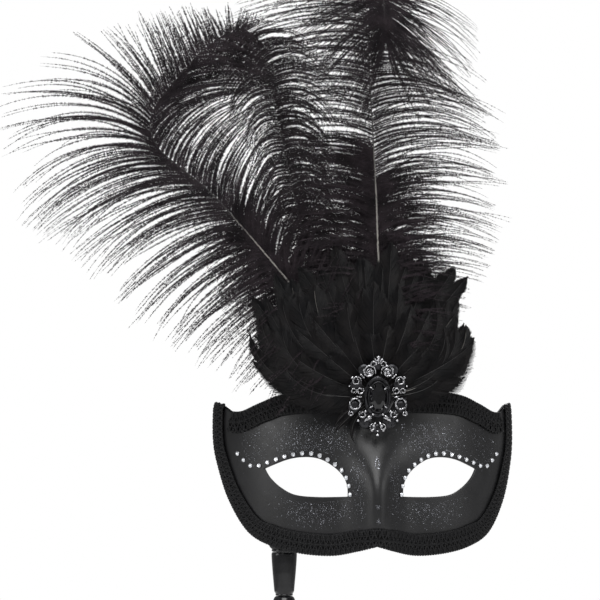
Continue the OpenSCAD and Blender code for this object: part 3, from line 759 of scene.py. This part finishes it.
def brooch():
    # Openwork ground: a rim of beads and small wires on a thin pierced plate
    plate = []
    for cx, cy, rx, ry in [(0, 0, 7.4, 11.4), (7.4, 14.2, 3.3, 3.3), (12.4, -5.2, 3.3, 3.3),
                           (11.6, 6.4, 3.2, 3.2), (6.4, -13.6, 3.4, 3.2), (0, 17.4, 2.8, 3),
                           (0, -17, 2.4, 2.6)]:
        for sx in ((1, -1) if cx else (1,)):
            rim = np.array(oval(rx, ry, ROUND))
            rows = [rim + [0, 0, 0.05], rim + [0, 0, 0.7], rim * [0.9, 0.9, 1] + [0, 0, 1.15],
                    rim * [0.5, 0.5, 1] + [0, 0, 1.35], rim * [0.02, 0.02, 1] + [0, 0, 1.4]]
            pts = np.stack(rows, 0) + [cx * sx, cy, 0]
            plate.append((pts.reshape(-1, 3), grid_faces(5, ROUND, True).tolist()))
    wires = both([
        scroll(5.0, 13.6, 3.5, 205, 1.35, -1), scroll(11.6, 8.6, 2.5, 190, 1.25, -1, wire=0.5),
        scroll(9.6, 3.6, 2.0, 120, 1.2, 1, wire=0.45), scroll(13.2, 3.2, 1.7, 240, 1.1, -1, wire=0.4),
        scroll(2.4, 17.6, 1.9, 250, 1.1, 1, wire=0.45), scroll(8.2, -9.0, 2.0, 60, 1.2, -1, wire=0.45),
        scroll(2.6, -16.0, 1.7, 100, 1.1, -1, wire=0.4), scroll(14.3, -8.6, 1.4, 80, 1.1, -1, wire=0.38)])
    rings = both([ring(12.2, -3.6, 2.8, 0.55, 2.1), ring(5.0, 13.6, 1.3, 0.4, 2.5)])
    leaves = both([leaf(3.2, -9.6, -42, 5.4, 3.0), leaf(1.0, -13.2, -66, 4.2, 1.8),
                   leaf(8.2, 0.0, 6, 3.4, 1.8), leaf(7.0, 9.8, 40, 3.4, 1.9), leaf(0.8, 18.2, 62, 3.2, 1.7)])
    crest = [leaf(0, 17.4, 90, 4.0, 2.2, 1.8)]
    beads = both([ball(c, r) for c, r in [((13.9, 10.4, 1.5), 0.95), ((2.7, -9.2, 2.3), 0.7),
                                          ((6.7, -7.6, 2.0), 0.85), ((15.2, -8.4, 1.4), 0.8),
                                          ((10.4, -12.6, 1.4), 0.85), ((3.0, -17.8, 1.6), 0.8),
                                          ((9.3, 11.9, 1.9), 0.7), ((15.3, 5.8, 1.4), 0.6),
                                          ((5.0, 13.6, 2.4), 0.8)]])
    beads += [ball((0, 21.2, 1.7), 1.15), ball((0, -20.2, 1.5), 0.95), ball((0, -18.2, 1.6), 0.65)]
    wall = [np.array(oval(GEM_RX + d, GEM_RY + d, ROUND, w))
            for d, w in ((1.5, 0.9), (1.2, 1.5), (0.55, 2.9), (0.3, 3.1), (0.0, 3.0), (-0.2, 2.6))]

    def set_down(items, index):
        return [(brooch_point(p), f, index) for p, f in items]

    casting = set_down(plate, 0) + set_down(leaves + crest, 1) + set_down(wires, 1)
    make("brooch_filigree", "mask", casting, [GUNMETAL, SILVER], ["brooch_casting"])
    make("brooch_ring_loops", "mask", set_down(rings, 0), SILVER, ["brooch_rings"])
    make("brooch_bead_work", "mask", set_down(beads, 0), SILVER)
    bezel = (np.stack(wall).reshape(-1, 3), grid_faces(len(wall), ROUND, True).tolist())
    make("brooch_bezel_cup", "mask", set_down([bezel], 0), GUNMETAL, ["brooch_bezel"])
    prongs = []
    for t in (38, 142, 218, 322):
        c, s = math.cos(math.radians(t)), math.sin(math.radians(t))
        at = [np.array([(GEM_RX + d) * c, (GEM_RY + d) * s, w]) for d, w in
              ((1.7, 1.2), (1.4, 2.6), (0.8, 3.7), (-0.3, 4.4), (-0.9, 4.45))]
        prongs.append(tube(curve(at, 4), np.linspace(0.62, 0.4, 17), 10))
    make("brooch_claws", "mask", set_down(prongs, 0), SILVER, ["brooch_prongs"])
    # Black stone: a long eight-sided cut with two rows of facets under its table
    k = math.pi / 8
    gem = hull(oval(GEM_RX * 0.46, GEM_RY * 0.5, 8, 5.4, k) + oval(GEM_RX * 0.78, GEM_RY * 0.8, 8, 4.7, k)
               + oval(GEM_RX, GEM_RY, 8, 3.3, k) + oval(GEM_RX * 0.97, GEM_RY * 0.97, 8, 2.6, k)
               + oval(GEM_RX * 0.5, GEM_RY * 0.5, 8, 1.3, k))
    make("brooch_black_stone", "mask", set_down([gem], 0), JET, ["brooch_gem"], smooth=False)
    crystals = []
    for sx in (1, -1):
        for cx, cy, r in ((11.6, 8.6, 1.0), (14.4, -0.4, 0.9), (8.4, -9.0, 0.9)):
            v, f = cut_stone(r, 1.0)
            crystals.append((v + [cx * sx, cy, 1.9], f))
    make("brooch_small_stones", "mask", set_down(crystals, 0), JET, ["brooch_crystals"], smooth=False)


# ---------------------------------------------------------------- feathers
HAIR_GAP, HAIR_LEAN, HAIR_MESS, HAIR_TIP = 0.4, 42.0, 0.5, 0.45
BARB_R, BARB_TIP_R, BARB_STEPS = 0.26, 0.035, 16
WEB_RIBBONS, WEB_STEPS = 150, 5
PLUMES = {"left": (LEFT_STEM, False), "middle": (MIDDLE_STEM, False), "right": (RIGHT_STEM, True)}


def strand_sides(paths, facing):
    """For every point of every strand, the direction that it faces and the one to its side."""
    t = unit(np.gradient(paths, axis=1))
    n = unit(facing - t * np.sum(facing * t, -1, keepdims=True))
    return n, np.cross(t, n)


def strand_faces(paths, closed):
    """Faces of strands with three points at each step."""
    b, s, _ = paths.shape
    return (grid_faces(s, 3, closed)[None] + (np.arange(b) * s * 3)[:, None, None]).reshape(-1, 4)


def strand_mesh(paths, radii, facing):
    """Three-sided strands: paths (B, S, 3), radii (B, S), and the direction that each flat side faces."""
    n, side = strand_sides(paths, facing)
    a = np.arange(3) * 2 * np.pi / 3
    pts = (paths[:, :, None] + radii[:, :, None, None] * (np.cos(a)[None, None, :, None] * side[:, :, None]
                                                         + np.sin(a)[None, None, :, None] * n[:, :, None]))
    return pts.reshape(-1, 3), strand_faces(paths, True)


def ribbon_mesh(paths, widths, facing):
    """Flat ribbons with a slight fold: two quads across, so that they catch the light."""
    n, side = strand_sides(paths, facing)
    half = widths[..., None] / 2
    pts = np.stack([paths - side * half, paths + n * half * 0.5, paths + side * half], 2)
    return pts.reshape(-1, 3), strand_faces(paths, False)


def barbule_mesh(paths, facing, hair, width, rng):
    """Fine hairs on both sides of every strand, one triangle each, shorter towards the strand's tip."""
    b, s, _ = paths.shape
    ell = np.linalg.norm(np.diff(paths, axis=1), axis=-1).sum(1)
    k = int(ell.max() / HAIR_GAP)
    u = (np.arange(k)[None] + rng.random((b, k))) / k * 0.99
    keep = rng.random((b, k)) < (ell / ell.max())[:, None] * (1.2 - 0.9 * u)
    u = np.repeat(u, 2, 1)
    keep = np.repeat(keep, 2, 1)
    sign = np.tile([1.0, -1.0], k)[None]
    pos = u * (s - 1)
    i = np.minimum(pos.astype(int), s - 2)
    f = (pos - i)[..., None]
    row = np.arange(b)[:, None]
    base = paths[row, i] * (1 - f) + paths[row, i + 1] * f
    t = unit(paths[row, i + 1] - paths[row, i])
    face = np.broadcast_to(facing, paths.shape)[row, i]
    n = unit(face - t * np.sum(face * t, -1, keepdims=True))
    side = np.cross(t, n) * sign[..., None]
    ang = np.radians(HAIR_LEAN + rng.normal(0, 11, u.shape))[..., None]
    way = unit(t * np.cos(ang) + side * np.sin(ang) + n * rng.normal(0, HAIR_MESS, u.shape)[..., None])
    length = HAIR_TIP + (hair - HAIR_TIP) * (1 - u) * np.minimum(1, 0.75 + 9 * u)
    reach_out = (length * rng.uniform(0.65, 1.2, u.shape))[..., None]
    tri = np.stack([base - t * width / 2, base + t * width / 2, base + way * reach_out], 2)[keep]
    return tri.reshape(-1, 3), np.arange(len(tri) * 3).reshape(-1, 3)


def at_shares(s, share, rows):
    """Rows of an array that belong to given shares, read at shares s."""
    return np.stack([np.interp(s, share, rows[:, k]) for k in range(3)], -1)


def walk(step):
    """Running sums of each strand's steps. The first is zero."""
    return np.concatenate([np.zeros((len(step), 1, 3)), np.cumsum(step[:, 1:], 1)], 1)


def stem_frame(stem, curls, s):
    """Place, heading, right-hand direction and back-to-front direction of a stem at shares s."""
    fine = curve(stem, 24)
    share = lengths(fine) / lengths(fine)[-1]
    p, t = at_shares(s, share, fine), unit(at_shares(s, share, tangents(fine)))
    if curls:
        a = unit(np.array([1.0, 0, 0]) - t[:, :1] * t)
    else:
        a = unit(np.cross([0.0, 1.0, 0.0], t))
    return p, t, a, np.cross(t, a)


def gather(path, sizes, hold, power, rng):
    """Neighbouring barbs cling together in bunches of so many, more and more towards their tips."""
    count, segments, _ = path.shape
    group = np.repeat(np.arange(count), rng.integers(*sizes, count))[:count]
    sums = np.zeros((count, segments, 3))
    np.add.at(sums, group, path)
    mean = sums[group] / np.bincount(group, minlength=count)[group][:, None, None]
    pull = hold * rng.uniform(0.45, 1.0, count)[group][:, None, None]
    return path + (mean - path) * pull * (np.linspace(0, 1, segments)[None, :, None] ** power)


def barb_paths(stem, curls, side, rows, count, rng, droop=0.0, turn=0.6, messy=5.0, splay=0.06, crowd=1.25,
               full=34.0):
    """Barbs of one side. rows: share along the stem, length, heading at the root and at the tip, lean.

    Headings are counted from the right hand in the mask's own plane or, where the stem curls, from the stem.
    crowd above 1 sets the barbs closer near the root, and full is how far they spread off the plane.
    """
    s = rows[0][0] + (rows[-1][0] - rows[0][0]) * np.linspace(0, 1, count) ** crowd
    s = np.clip(s + rng.normal(0, 0.0015, count), 0, 1)
    long, th0, th1, lean = table(rows, s)
    p, t, a, b = stem_frame(stem, curls, s)
    a = a * side
    if not curls:
        ahead = np.degrees(np.arctan2(t[:, 2], t[:, 0]))
        th0, th1 = -side * (th0 - ahead), -side * (th1 - ahead)
    long = long * np.clip(rng.normal(1, 0.08, count), 0.7, 1.18)
    th0 = th0 + rng.normal(0, messy * 0.5, count)
    th1 = th1 + rng.normal(0, messy * 1.8, count)
    lean = lean + rng.normal(0, full, count) * np.interp(s, [0.82, 0.93], [1, 0.4 if curls else 0.8])
    u = np.linspace(0, 1, BARB_STEPS)[None]
    wave = rng.normal(0, messy, count)[:, None] * np.sin(u * 5)
    th = np.radians(th0[:, None] + (th1 - th0)[:, None] * u ** turn + wave)
    off = np.radians(lean[:, None] * u ** 0.7)
    d = np.cos(th)[..., None] * t[:, None] + np.sin(th)[..., None] * a[:, None]
    d = d * np.cos(off)[..., None] + b[:, None] * np.sin(off)[..., None]
    path = p[:, None] + walk((long / (BARB_STEPS - 1))[:, None, None] * d)
    path[..., 2] -= droop * long[:, None] * u ** 2
    path = gather(path, (1, 4), 0.8, 1.1, rng)
    path = gather(path, (2, 8), 0.75, 1.4, rng)
    stray = rng.normal(0, splay, count)[:, None, None] * long[:, None, None] * (u ** 2)[..., None]
    return path + b[:, None] * stray, b[:, None]


def plume_side(plume, piece, side, rows, count, seed, node=None, hair=2.2, width=0.5, **how):
    """One piece of a plume: barbs on the right (1) or left (-1) of its stem, with their hairs."""
    rng = np.random.default_rng(seed)
    path, facing = barb_paths(*PLUMES[plume], side, rows, count, rng, **how)
    u = np.linspace(0, 1, BARB_STEPS)[None]
    radii = np.broadcast_to(BARB_R * (1 - u) ** 1.1 + BARB_TIP_R, path.shape[:2])
    facing = np.broadcast_to(facing, path.shape)
    parts = [strand_mesh(path, radii, facing), barbule_mesh(path, facing, hair, width, rng)]
    make(f"{plume}_plume_{piece}", plume + "_plume", parts, BARB, [node] if node else [])


def plume_quill(plume, pale_to, dark_from):
    """The stem: pale and bare at its root, dyed further up."""
    name, share = plume + "_plume_stem", np.linspace(0, 1, 120)
    p, _, _, b = stem_frame(*PLUMES[plume], share)
    radius = np.interp(share, [0, 0.04, 0.4, 1], [0.9, 0.85, 0.45, 0.18])
    material = quill_material(name + "_dye", pale_to, dark_from)
    make(name, plume + "_plume", [tube(p, radius, 12, 0.85, normal=b)], material, [plume + "_quill"])


def plumes():
    plume_quill("left", 0.13, 0.142)
    plume_quill("middle", 0.0, 0.02)
    plume_quill("right", 0.14, 0.19)
    # Left plume: long barbs that sweep out and down, and inner ones that arch up and over to the right
    plume_side("left", "outer_barbs", -1, [
        [0.07, 52, 208, 236, -4], [0.20, 62, 196, 232, -6], [0.30, 74, 187, 232, -4], [0.43, 80, 172, 230, 0],
        [0.50, 88, 164, 226, 0], [0.60, 95, 158, 229, 0], [0.65, 86, 142, 214, 0], [0.70, 84, 126, 196, 0],
        [0.725, 70, 118, 166, 0], [0.75, 56, 112, 138, 0], [0.80, 42, 102, 114, 0], [0.85, 32, 108, 112, 0],
        [0.90, 26, 108, 116, 0], [0.95, 18, 100, 118, 0], [1.0, 13, 50, 60, 0]],
        340, 1, "left_vane", crowd=1.0)
    plume_side("left", "inner_barbs", 1, [
        [0.07, 40, 92, 60, 6], [0.25, 50, 98, 58, 6], [0.35, 56, 104, 52, 4], [0.43, 56, 104, 47, 4],
        [0.50, 58, 104, 38, 0], [0.60, 62, 92, 14, -4], [0.65, 66, 88, 0, -6], [0.70, 72, 66, -8, -6],
        [0.75, 70, 50, -14, -6], [0.80, 62, 38, -14, -6], [0.85, 52, 34, -26, -4], [0.90, 42, 28, -50, 0],
        [0.95, 30, 12, -60, 0], [1.0, 20, -8, -60, 0]], 340, 2)
    # Middle plume: dense and dark, its barbs hanging close to the stem, behind the other two
    plume_side("middle", "left_barbs", -1, [
        [0.06, 26, 165, 230, 8], [0.30, 24, 160, 245, 6], [0.50, 21, 150, 260, 4], [0.75, 26, 150, 264, 0],
        [0.85, 34, 165, 262, 0], [0.92, 30, 185, 255, 0], [1.0, 20, 190, 245, 0]],
        320, 3, "middle_vane", hair=2.0, full=42.0)
    plume_side("middle", "right_barbs", 1, [
        [0.06, 30, 62, -20, 8], [0.30, 32, 66, -40, 6], [0.50, 30, 60, -66, 4], [0.70, 33, 60, -70, 0],
        [0.80, 42, 62, -66, 0], [0.88, 46, 75, -40, 0], [0.95, 42, 92, -30, 0], [1.0, 24, 120, 20, 0]],
        380, 4, width=0.55, full=42.0)
    # Right plume: upright, its tip curled over to the front, where the last barbs hang down like a fountain
    upright = {"turn": 0.45, "droop": 0.06, "width": 0.4}
    plume_side("right", "right_barbs", 1, [
        [0.07, 42, 48, 96, 0], [0.20, 60, 46, 102, 0], [0.30, 70, 44, 108, 0], [0.40, 72, 42, 100, 0],
        [0.50, 72, 46, 112, 0], [0.60, 70, 54, 126, 0], [0.66, 60, 66, 132, 3], [0.72, 42, 80, 136, 6],
        [0.78, 32, 84, 130, 10], [0.85, 22, 70, 100, 4], [0.92, 34, 62, 64, -10], [1.0, 42, 14, 34, -6]],
        330, 5, "right_vane", crowd=1.1, **upright)
    plume_side("right", "left_barbs", -1, [
        [0.07, 36, 52, 98, 0], [0.20, 50, 52, 96, 0], [0.30, 54, 52, 92, 0], [0.40, 56, 50, 86, 0],
        [0.50, 58, 50, 96, 0], [0.60, 64, 54, 104, 0], [0.66, 78, 60, 106, 2], [0.72, 84, 68, 112, 6],
        [0.78, 66, 74, 112, 10], [0.85, 54, 60, 96, 4], [0.92, 54, 52, 70, -10], [1.0, 42, 12, 30, -6]],
        320, 6, **upright)
    for piece, side, seed in (("tip_right", 1, 12), ("tip_left", -1, 13)):
        plume_side("right", piece, side, [
            [0.90, 52, 100, 60, -14], [0.95, 56, 78, 46, -12], [1.0, 46, 8, 30, -8]],
            70, seed, droop=0.1, crowd=0.7, width=0.3, hair=1.4, messy=7)
    # Soft down round the roots, where the plumes close up into one dark mass
    down = {"messy": 12, "splay": 0.14}
    plume_side("left", "down", 1, [
        [0.05, 36, 100, 40, 20], [0.2, 46, 104, 50, 24], [0.42, 44, 106, 60, 20]],
        170, 7, hair=2.4, **down)
    plume_side("left", "outer_down", -1, [
        [0.05, 40, 190, 236, -14], [0.2, 44, 180, 232, -14], [0.4, 36, 170, 226, -10]],
        200, 8, hair=2.4, **down)
    plume_side("right", "left_down", -1, [
        [0.05, 40, 50, 104, 24], [0.2, 50, 50, 100, 26], [0.44, 46, 50, 92, 18]],
        320, 9, turn=0.5, hair=2.7, **down)
    plume_side("right", "right_down", 1, [
        [0.05, 34, 48, 100, -24], [0.2, 44, 46, 104, -24], [0.38, 40, 44, 100, -18]],
        210, 10, turn=0.5, hair=2.7, **down)


def hackle_parts(angle, length, bend, width, y, lift, rng):
    """One cock hackle: a fine stem and two webs of close narrow ribbons with a few splits in them."""
    a0 = math.radians(angle)
    root = FEATHER_ROOT + 6 * np.array([math.cos(a0), math.sin(a0)])
    s = np.linspace(0, 1, 40)
    heading = a0 + math.radians(bend) * s ** 1.9
    steps = np.stack([np.cos(heading), np.sin(heading)], -1)[1:] * length / 39
    xz = root + np.concatenate([[[0, 0]], np.cumsum(steps, 0)])
    stem = np.stack([xz[:, 0], y - lift * np.sin(s * 1.9) ** 2, xz[:, 1]], -1)
    t = tangents(stem)
    across = unit(np.cross([0.0, 1.0, 0.0], t))
    parts = []
    u = np.linspace(0, 1, WEB_STEPS)
    f = np.linspace(0.05, 0.995, WEB_RIBBONS)
    p, tt = at_shares(f, s, stem), unit(at_shares(f, s, t))
    for side in (1, -1):
        aa = unit(at_shares(f, s, across)) * side
        bb = np.cross(tt, aa) * side
        wide = width / 2 * (0.3 * (1 - f) + np.sin(np.pi * f ** 0.74) ** 0.7)
        split = np.repeat(rng.normal(0, 1, WEB_RIBBONS), rng.integers(6, 22, WEB_RIBBONS))[:WEB_RIBBONS]
        long = np.maximum(wide, 0.06 * width) / math.sin(math.radians(44))
        long = long * (1 + 0.05 * split + rng.normal(0, 0.03, WEB_RIBBONS))
        th = np.interp(f, [0, 0.2, 0.8, 1], [66, 50, 36, 14])[:, None] + 4 * split[:, None] * u[None]
        th = np.radians(th) * (1 - 0.3 * u[None] ** 1.5)
        d = np.cos(th)[..., None] * tt[:, None] + np.sin(th)[..., None] * aa[:, None]
        path = p[:, None] + walk(d * (long / (WEB_STEPS - 1))[:, None, None])
        curl = 0.16 + 0.05 * split + rng.normal(0, 0.02, WEB_RIBBONS)
        path = path + bb[:, None] * (curl * long)[:, None, None] * (u[None, :, None] ** 1.6)
        w = np.interp(u, [0, 0.6, 1], [0.5, 0.46, 0.1])[None] * np.ones((WEB_RIBBONS, 1)) * length / 58
        parts.append(ribbon_mesh(path, w, np.broadcast_to(bb[:, None], path.shape)))
    pale = 2 if rng.random() < 0.12 else 1
    parts.append((*tube(stem[:38], np.linspace(0.3, 0.06, 38), 5), pale))
    return parts


def hackle_fan(where, spans, seed):
    """spans: (from angle, to angle, count, length, bend from, bend to, width, depth, lift)."""
    rng = np.random.default_rng(seed)
    parts = []
    for a0, a1, count, length, b0, b1, width, y, lift in spans:
        for k in range(count):
            s = k / max(1, count - 1)
            parts += hackle_parts(a0 + (a1 - a0) * s + rng.normal(0, 2.5), length * rng.uniform(0.8, 1.03),
                                  b0 + (b1 - b0) * s + rng.normal(0, 9), width * rng.uniform(0.85, 1.15),
                                  y - 0.14 * (k % 5), lift * rng.uniform(0.6, 1.3), rng)
    make(where + "_hackle_feathers", "mask", parts, [HACKLE, DARK_QUILL, PALE_QUILL], [where + "_hackles"])


def hackles():
    hackle_fan("back", [
        (54, 150, 17, 79, 10, -24, 22, -8.0, 3), (32, 50, 4, 60, 34, 16, 18, -8.0, 3)], 21)
    hackle_fan("left", [
        (138, 178, 12, 76, -34, -82, 20, -9.0, 6), (158, 180, 6, 76, -62, -88, 14, -9.8, 5)], 22)
    hackle_fan("right", [
        (44, 8, 9, 59, 40, 84, 17, -9.0, 6), (22, 2, 5, 56, 84, 125, 6, -9.8, 6)], 23)
    hackle_fan("front", [
        (20, 160, 14, 54, 26, -26, 16, -10.0, 6), (36, 144, 8, 34, 12, -12, 13, -11.2, 4),
        (204, 222, 3, 27, 44, 62, 3, -9.2, -0.5)], 24)


# ---------------------------------------------------------------- pad, glue and stick
def soft_slab(outline, y_front, y_back, name, material, node, puff):
    """A slab with a softly crowned front, from a closed (x, z) outline."""
    outline = np.array(outline)
    c = outline.mean(0)
    rings = []
    for f, k in ((1.0, 1.0), (1.0, 0.35), (0.97, 0.08), (0.85, 0.0), (0.5, 0.0), (0.02, 0.0)):
        p = c + (outline - c) * f
        y = y_front + (y_back - y_front) * k - puff * (1 - f ** 2)
        rings.append(np.stack([p[:, 0], np.full(len(p), y), p[:, 1]], -1))
    back = c + (outline - c) * 0.02
    rings.insert(0, np.stack([back[:, 0], np.full(len(back), y_back), back[:, 1]], -1))
    skin = (np.stack(rings).reshape(-1, 3), grid_faces(len(rings), len(outline), True))
    make(name, "mask", [skin], material, [node])


def feather_fixings():
    a = np.arange(72) * 2 * np.pi / 72
    pad = np.stack([14 * np.cos(a), 39 + 13 * np.sin(a)], -1)
    soft_slab(pad, -4.6, -3.4, "feather_felt_pad", FELT, "feather_pad", 0)
    wob = 1 + 0.06 * np.sin(3 * a + 1) + 0.04 * np.sin(5 * a)
    blob = np.stack([9.4 * np.cos(a) * wob, 40.6 + 9.3 * np.sin(a) * wob], -1)
    soft_slab(blob, -8.0, -4.8, "feather_glue", GLUE, "glue_block", 0.2)


def bracket_point(p, shift):
    """From the tab's own frame to the row frame: lean, then shift, then turn round the stick's axis."""
    p = np.asarray(p, float)
    c, s = math.cos(math.radians(TAB_LEAN)), math.sin(math.radians(TAB_LEAN))
    q = np.stack([p[..., 0], p[..., 1] * c - p[..., 2] * s, p[..., 1] * s + p[..., 2] * c], -1) + shift
    c, s = math.cos(math.radians(-TAB_TURN)), math.sin(math.radians(-TAB_TURN))
    x, y = q[..., 0] * c - q[..., 1] * s, q[..., 0] * s + q[..., 1] * c
    return np.stack([x + STICK_X, y + STICK_Y, q[..., 2]], -1)


def plate(width, height, thick, corner, shift, soft=0.35, puff=0.0):
    """A plate with rounded corners and soft edges; its front lies at y = 0 of its own frame."""
    a = np.arange(64) * 2 * np.pi / 64
    core = np.stack([np.cos(a), np.sin(a)], -1)
    centre = np.array([width / 2, height / 2])
    half = centre - corner
    base = centre + np.sign(np.round(core, 9)) * half + corner * core
    rings = []
    for inset, y in ((999, 0), (soft, 0), (soft * 0.3, soft * 0.3), (0, soft), (0, thick - soft),
                     (soft * 0.3, thick - soft * 0.3), (soft, thick), (3.0, thick + puff),
                     (999, thick + puff * 1.2)):
        f = np.maximum(0.002, 1 - inset / np.linalg.norm(base - centre, axis=1))[:, None]
        p = centre + (base - centre) * f
        rings.append(np.stack([p[:, 0], np.full(64, y), p[:, 1]], -1))
    pts = bracket_point(np.stack(rings), np.array(shift))
    return pts.reshape(-1, 3), grid_faces(len(rings), 64, True)[:, ::-1]


def stick():
    axis = (STICK_X, STICK_Y)
    boss = lathe(rounded([(0, BOSS_TOP), (5.6, BOSS_TOP), (6.75, BOSS_TOP - 0.7), (6.75, BOSS_TOP - 1.5),
                          (6.2, BOSS_TOP - 2.0), (6.2, BOSS_TOP - 2.5), (6.8, BOSS_TOP - 3.0),
                          (6.8, BOSS_LOW + 0.4), (6.3, BOSS_LOW), (0, BOSS_LOW)]), axis)
    tab = plate(12, 26, 2.4, 3.0, (-6, -6.2, BOSS_TOP - 3))
    make("stick_bracket_moulding", "mask", [boss, tab], LACQUER, ["stick_bracket"])
    patch = plate(20, 21, 0.9, 4.0, (-10, -3.5, BOSS_TOP + 2.6), 0.3, 0.2)
    make("bracket_felt_patch", "mask", [patch], FELT, ["bracket_patch"])
    low, top = BARREL_LOW, BARREL_TOP
    bore, end = SPIGOT_R + FIT_GAP, low + SPIGOT_LEN + 0.3
    barrel = [(0, end), (bore, end), (bore, low), (4.6, low), (4.75, low + 0.35), (4.6, low + 0.8),
              (4.85, low + 1.4), (5.35, low + 2.2), (5.7, low + 6), (6.25, low + 12), (6.7, low + 18),
              (6.9, low + 21.4), (6.9, low + 22.6), (6.5, top), (0, top)]
    make("stick_barrel_turning", "barrel", [lathe(rounded(barrel, 1.1, 6), axis)], LACQUER, ["stick_barrel"])
    b, taper = BEAD_TOP, SHAFT_LEN - 16
    shaft = [(0, -SPIGOT_LEN), (SPIGOT_R, -SPIGOT_LEN), (SPIGOT_R, 0), (4.5, 0), (5.4, 0.9), (6, 2.4),
             (6, 3.4), (5.4, 4.9), (4.3, 6), (4, 7), (4.4, 7.8), (5, 8.4), (4.6, 9.4), (3.9, 10),
             (3.5, 10 + taper * 0.3), (3.3, 10 + taper * 0.6), (3.5, 10 + taper), (4.6, 12 + taper),
             (5.2, 14 + taper), (4.6, 16 + taper), (3.8, 17.5 + taper), (3.8, 19.5 + taper),
             (4.8, 21 + taper), (5.3, 23 + taper), (4.9, 26 + taper), (0, 26 + taper)]
    turned = lathe(rounded([(r, b - z) for r, z in shaft], 1.0, 6), axis)
    make("stick_shaft_turning", "lower_stick", [turned], LACQUER, ["stick_shaft"])
    grip = [(0, GRIP_TOP), (GRIP_R, GRIP_TOP), (GRIP_R, GRIP_LOW), (0, GRIP_LOW)]
    make("stick_grip_turning", "lower_stick", [lathe(rounded(grip, 0.25, 4), axis)], LACQUER, ["stick_grip"])
    e = GRIP_LOW - 0.2
    cap = [(0, e), (3.6, e), (3.5, e - 0.8), (4.3, e - 1.8), (4.1, e - 3.2), (3.2, e - 4.5), (1.6, e - 5.1),
           (0, e - 5.2)]
    make("stick_end_cap", "lower_stick", [lathe(rounded(cap, 0.6, 5), axis)], LACQUER, ["end_cap"])


# ---------------------------------------------------------------- floor, light and camera
WORLD_LIGHT = 0.3
FLOOR_RINGS, FLOOR_SIDES = (1, 600, 1300), 128
LIT_POINT = Vector((0, 0, 0.05))
# Name, place and size in metres, and power in watts
LAMPS = (("key", (-0.2, -2.3, 2.3), 2.5, 122), ("left_fill", (-3.0, -0.9, 0.7), 1.5, 28),
         ("right_fill", (2.9, -1.5, 0.7), 1.5, 22), ("top_back", (0.4, 2.4, 2.8), 1.8, 100))
# Degrees round the mask and up, metres to the middle of the view, its width there, and its middle
CAMERA_TURN, CAMERA_RISE = -5.0, -4.0
CAMERA_FAR, VIEW_WIDTH, SENSOR = 1.5, 0.321, 36
VIEW_RIGHT, VIEW_UP = -0.0401, 0.0942


def place_in_scene(name, data, where, aim):
    """A lamp or camera that looks at a point."""
    obj = bpy.data.objects.new(name, data)
    obj.location = where
    obj.rotation_euler = (aim - Vector(where)).to_track_quat("-Z", "Y").to_euler()
    bpy.context.scene.collection.objects.link(obj)
    return obj


def studio():
    floor_z = cad_box[0][2] / MM - 0.5
    rings = np.stack([oval(r, r, FLOOR_SIDES, floor_z) for r in FLOOR_RINGS])
    faces = grid_faces(len(FLOOR_RINGS), FLOOR_SIDES, True).tolist() + [list(range(FLOOR_SIDES))[::-1]]
    mesh = bpy.data.meshes.new("studio_floor")
    mesh.from_pydata(rings.reshape(-1, 3) * MM, [], faces)
    paper = finish_material("floor_paper", (0.7, 0.7, 0.7), (0.73, 0.73, 0.73), (0.8, 0.9), 3.0, [])
    mesh.materials.append(paper)
    floor = bpy.data.objects.new("studio_floor", mesh)
    bpy.context.scene.collection.objects.link(floor)
    world = bpy.data.worlds.new("white_studio")
    bpy.context.scene.world = world
    world.use_nodes = True
    tree = world.node_tree
    seen = add(tree, "ShaderNodeLightPath").outputs["Is Camera Ray"]
    tree.nodes["Background"].inputs["Color"].default_value = (1, 1, 1, 1)
    strength = spread(tree, seen, WORLD_LIGHT, 1.0, 0.0, 1.0)
    tree.links.new(strength, tree.nodes["Background"].inputs["Strength"])
    for name, where, size, power in LAMPS:
        data = bpy.data.lights.new(name, "AREA")
        data.size, data.energy = size, power
        place_in_scene(name, data, where, LIT_POINT)
    bpy.context.scene.view_settings.view_transform = "Standard"


def camera():
    """A little to the mask's left and below it, cutting off the tallest plume's tip and the lower stick."""
    turn, rise = math.radians(CAMERA_TURN), math.radians(CAMERA_RISE)
    right = Vector((math.cos(turn), math.sin(turn), 0))
    back = Vector((math.sin(turn) * math.cos(rise), -math.cos(turn) * math.cos(rise), math.sin(rise)))
    target = right * VIEW_RIGHT + right.cross(-back) * VIEW_UP
    data = bpy.data.cameras.new("camera")
    data.sensor_width = SENSOR
    data.lens = SENSOR * CAMERA_FAR / VIEW_WIDTH
    bpy.context.scene.camera = place_in_scene("camera", data, target + back * CAMERA_FAR, target)


camera()
studio()
mask_shell()
felt_lining()
glitter()
braids()
eye_stones("left", -1)
eye_stones("right", 1)
brooch()
plumes()
hackles()
feather_fixings()
stick()
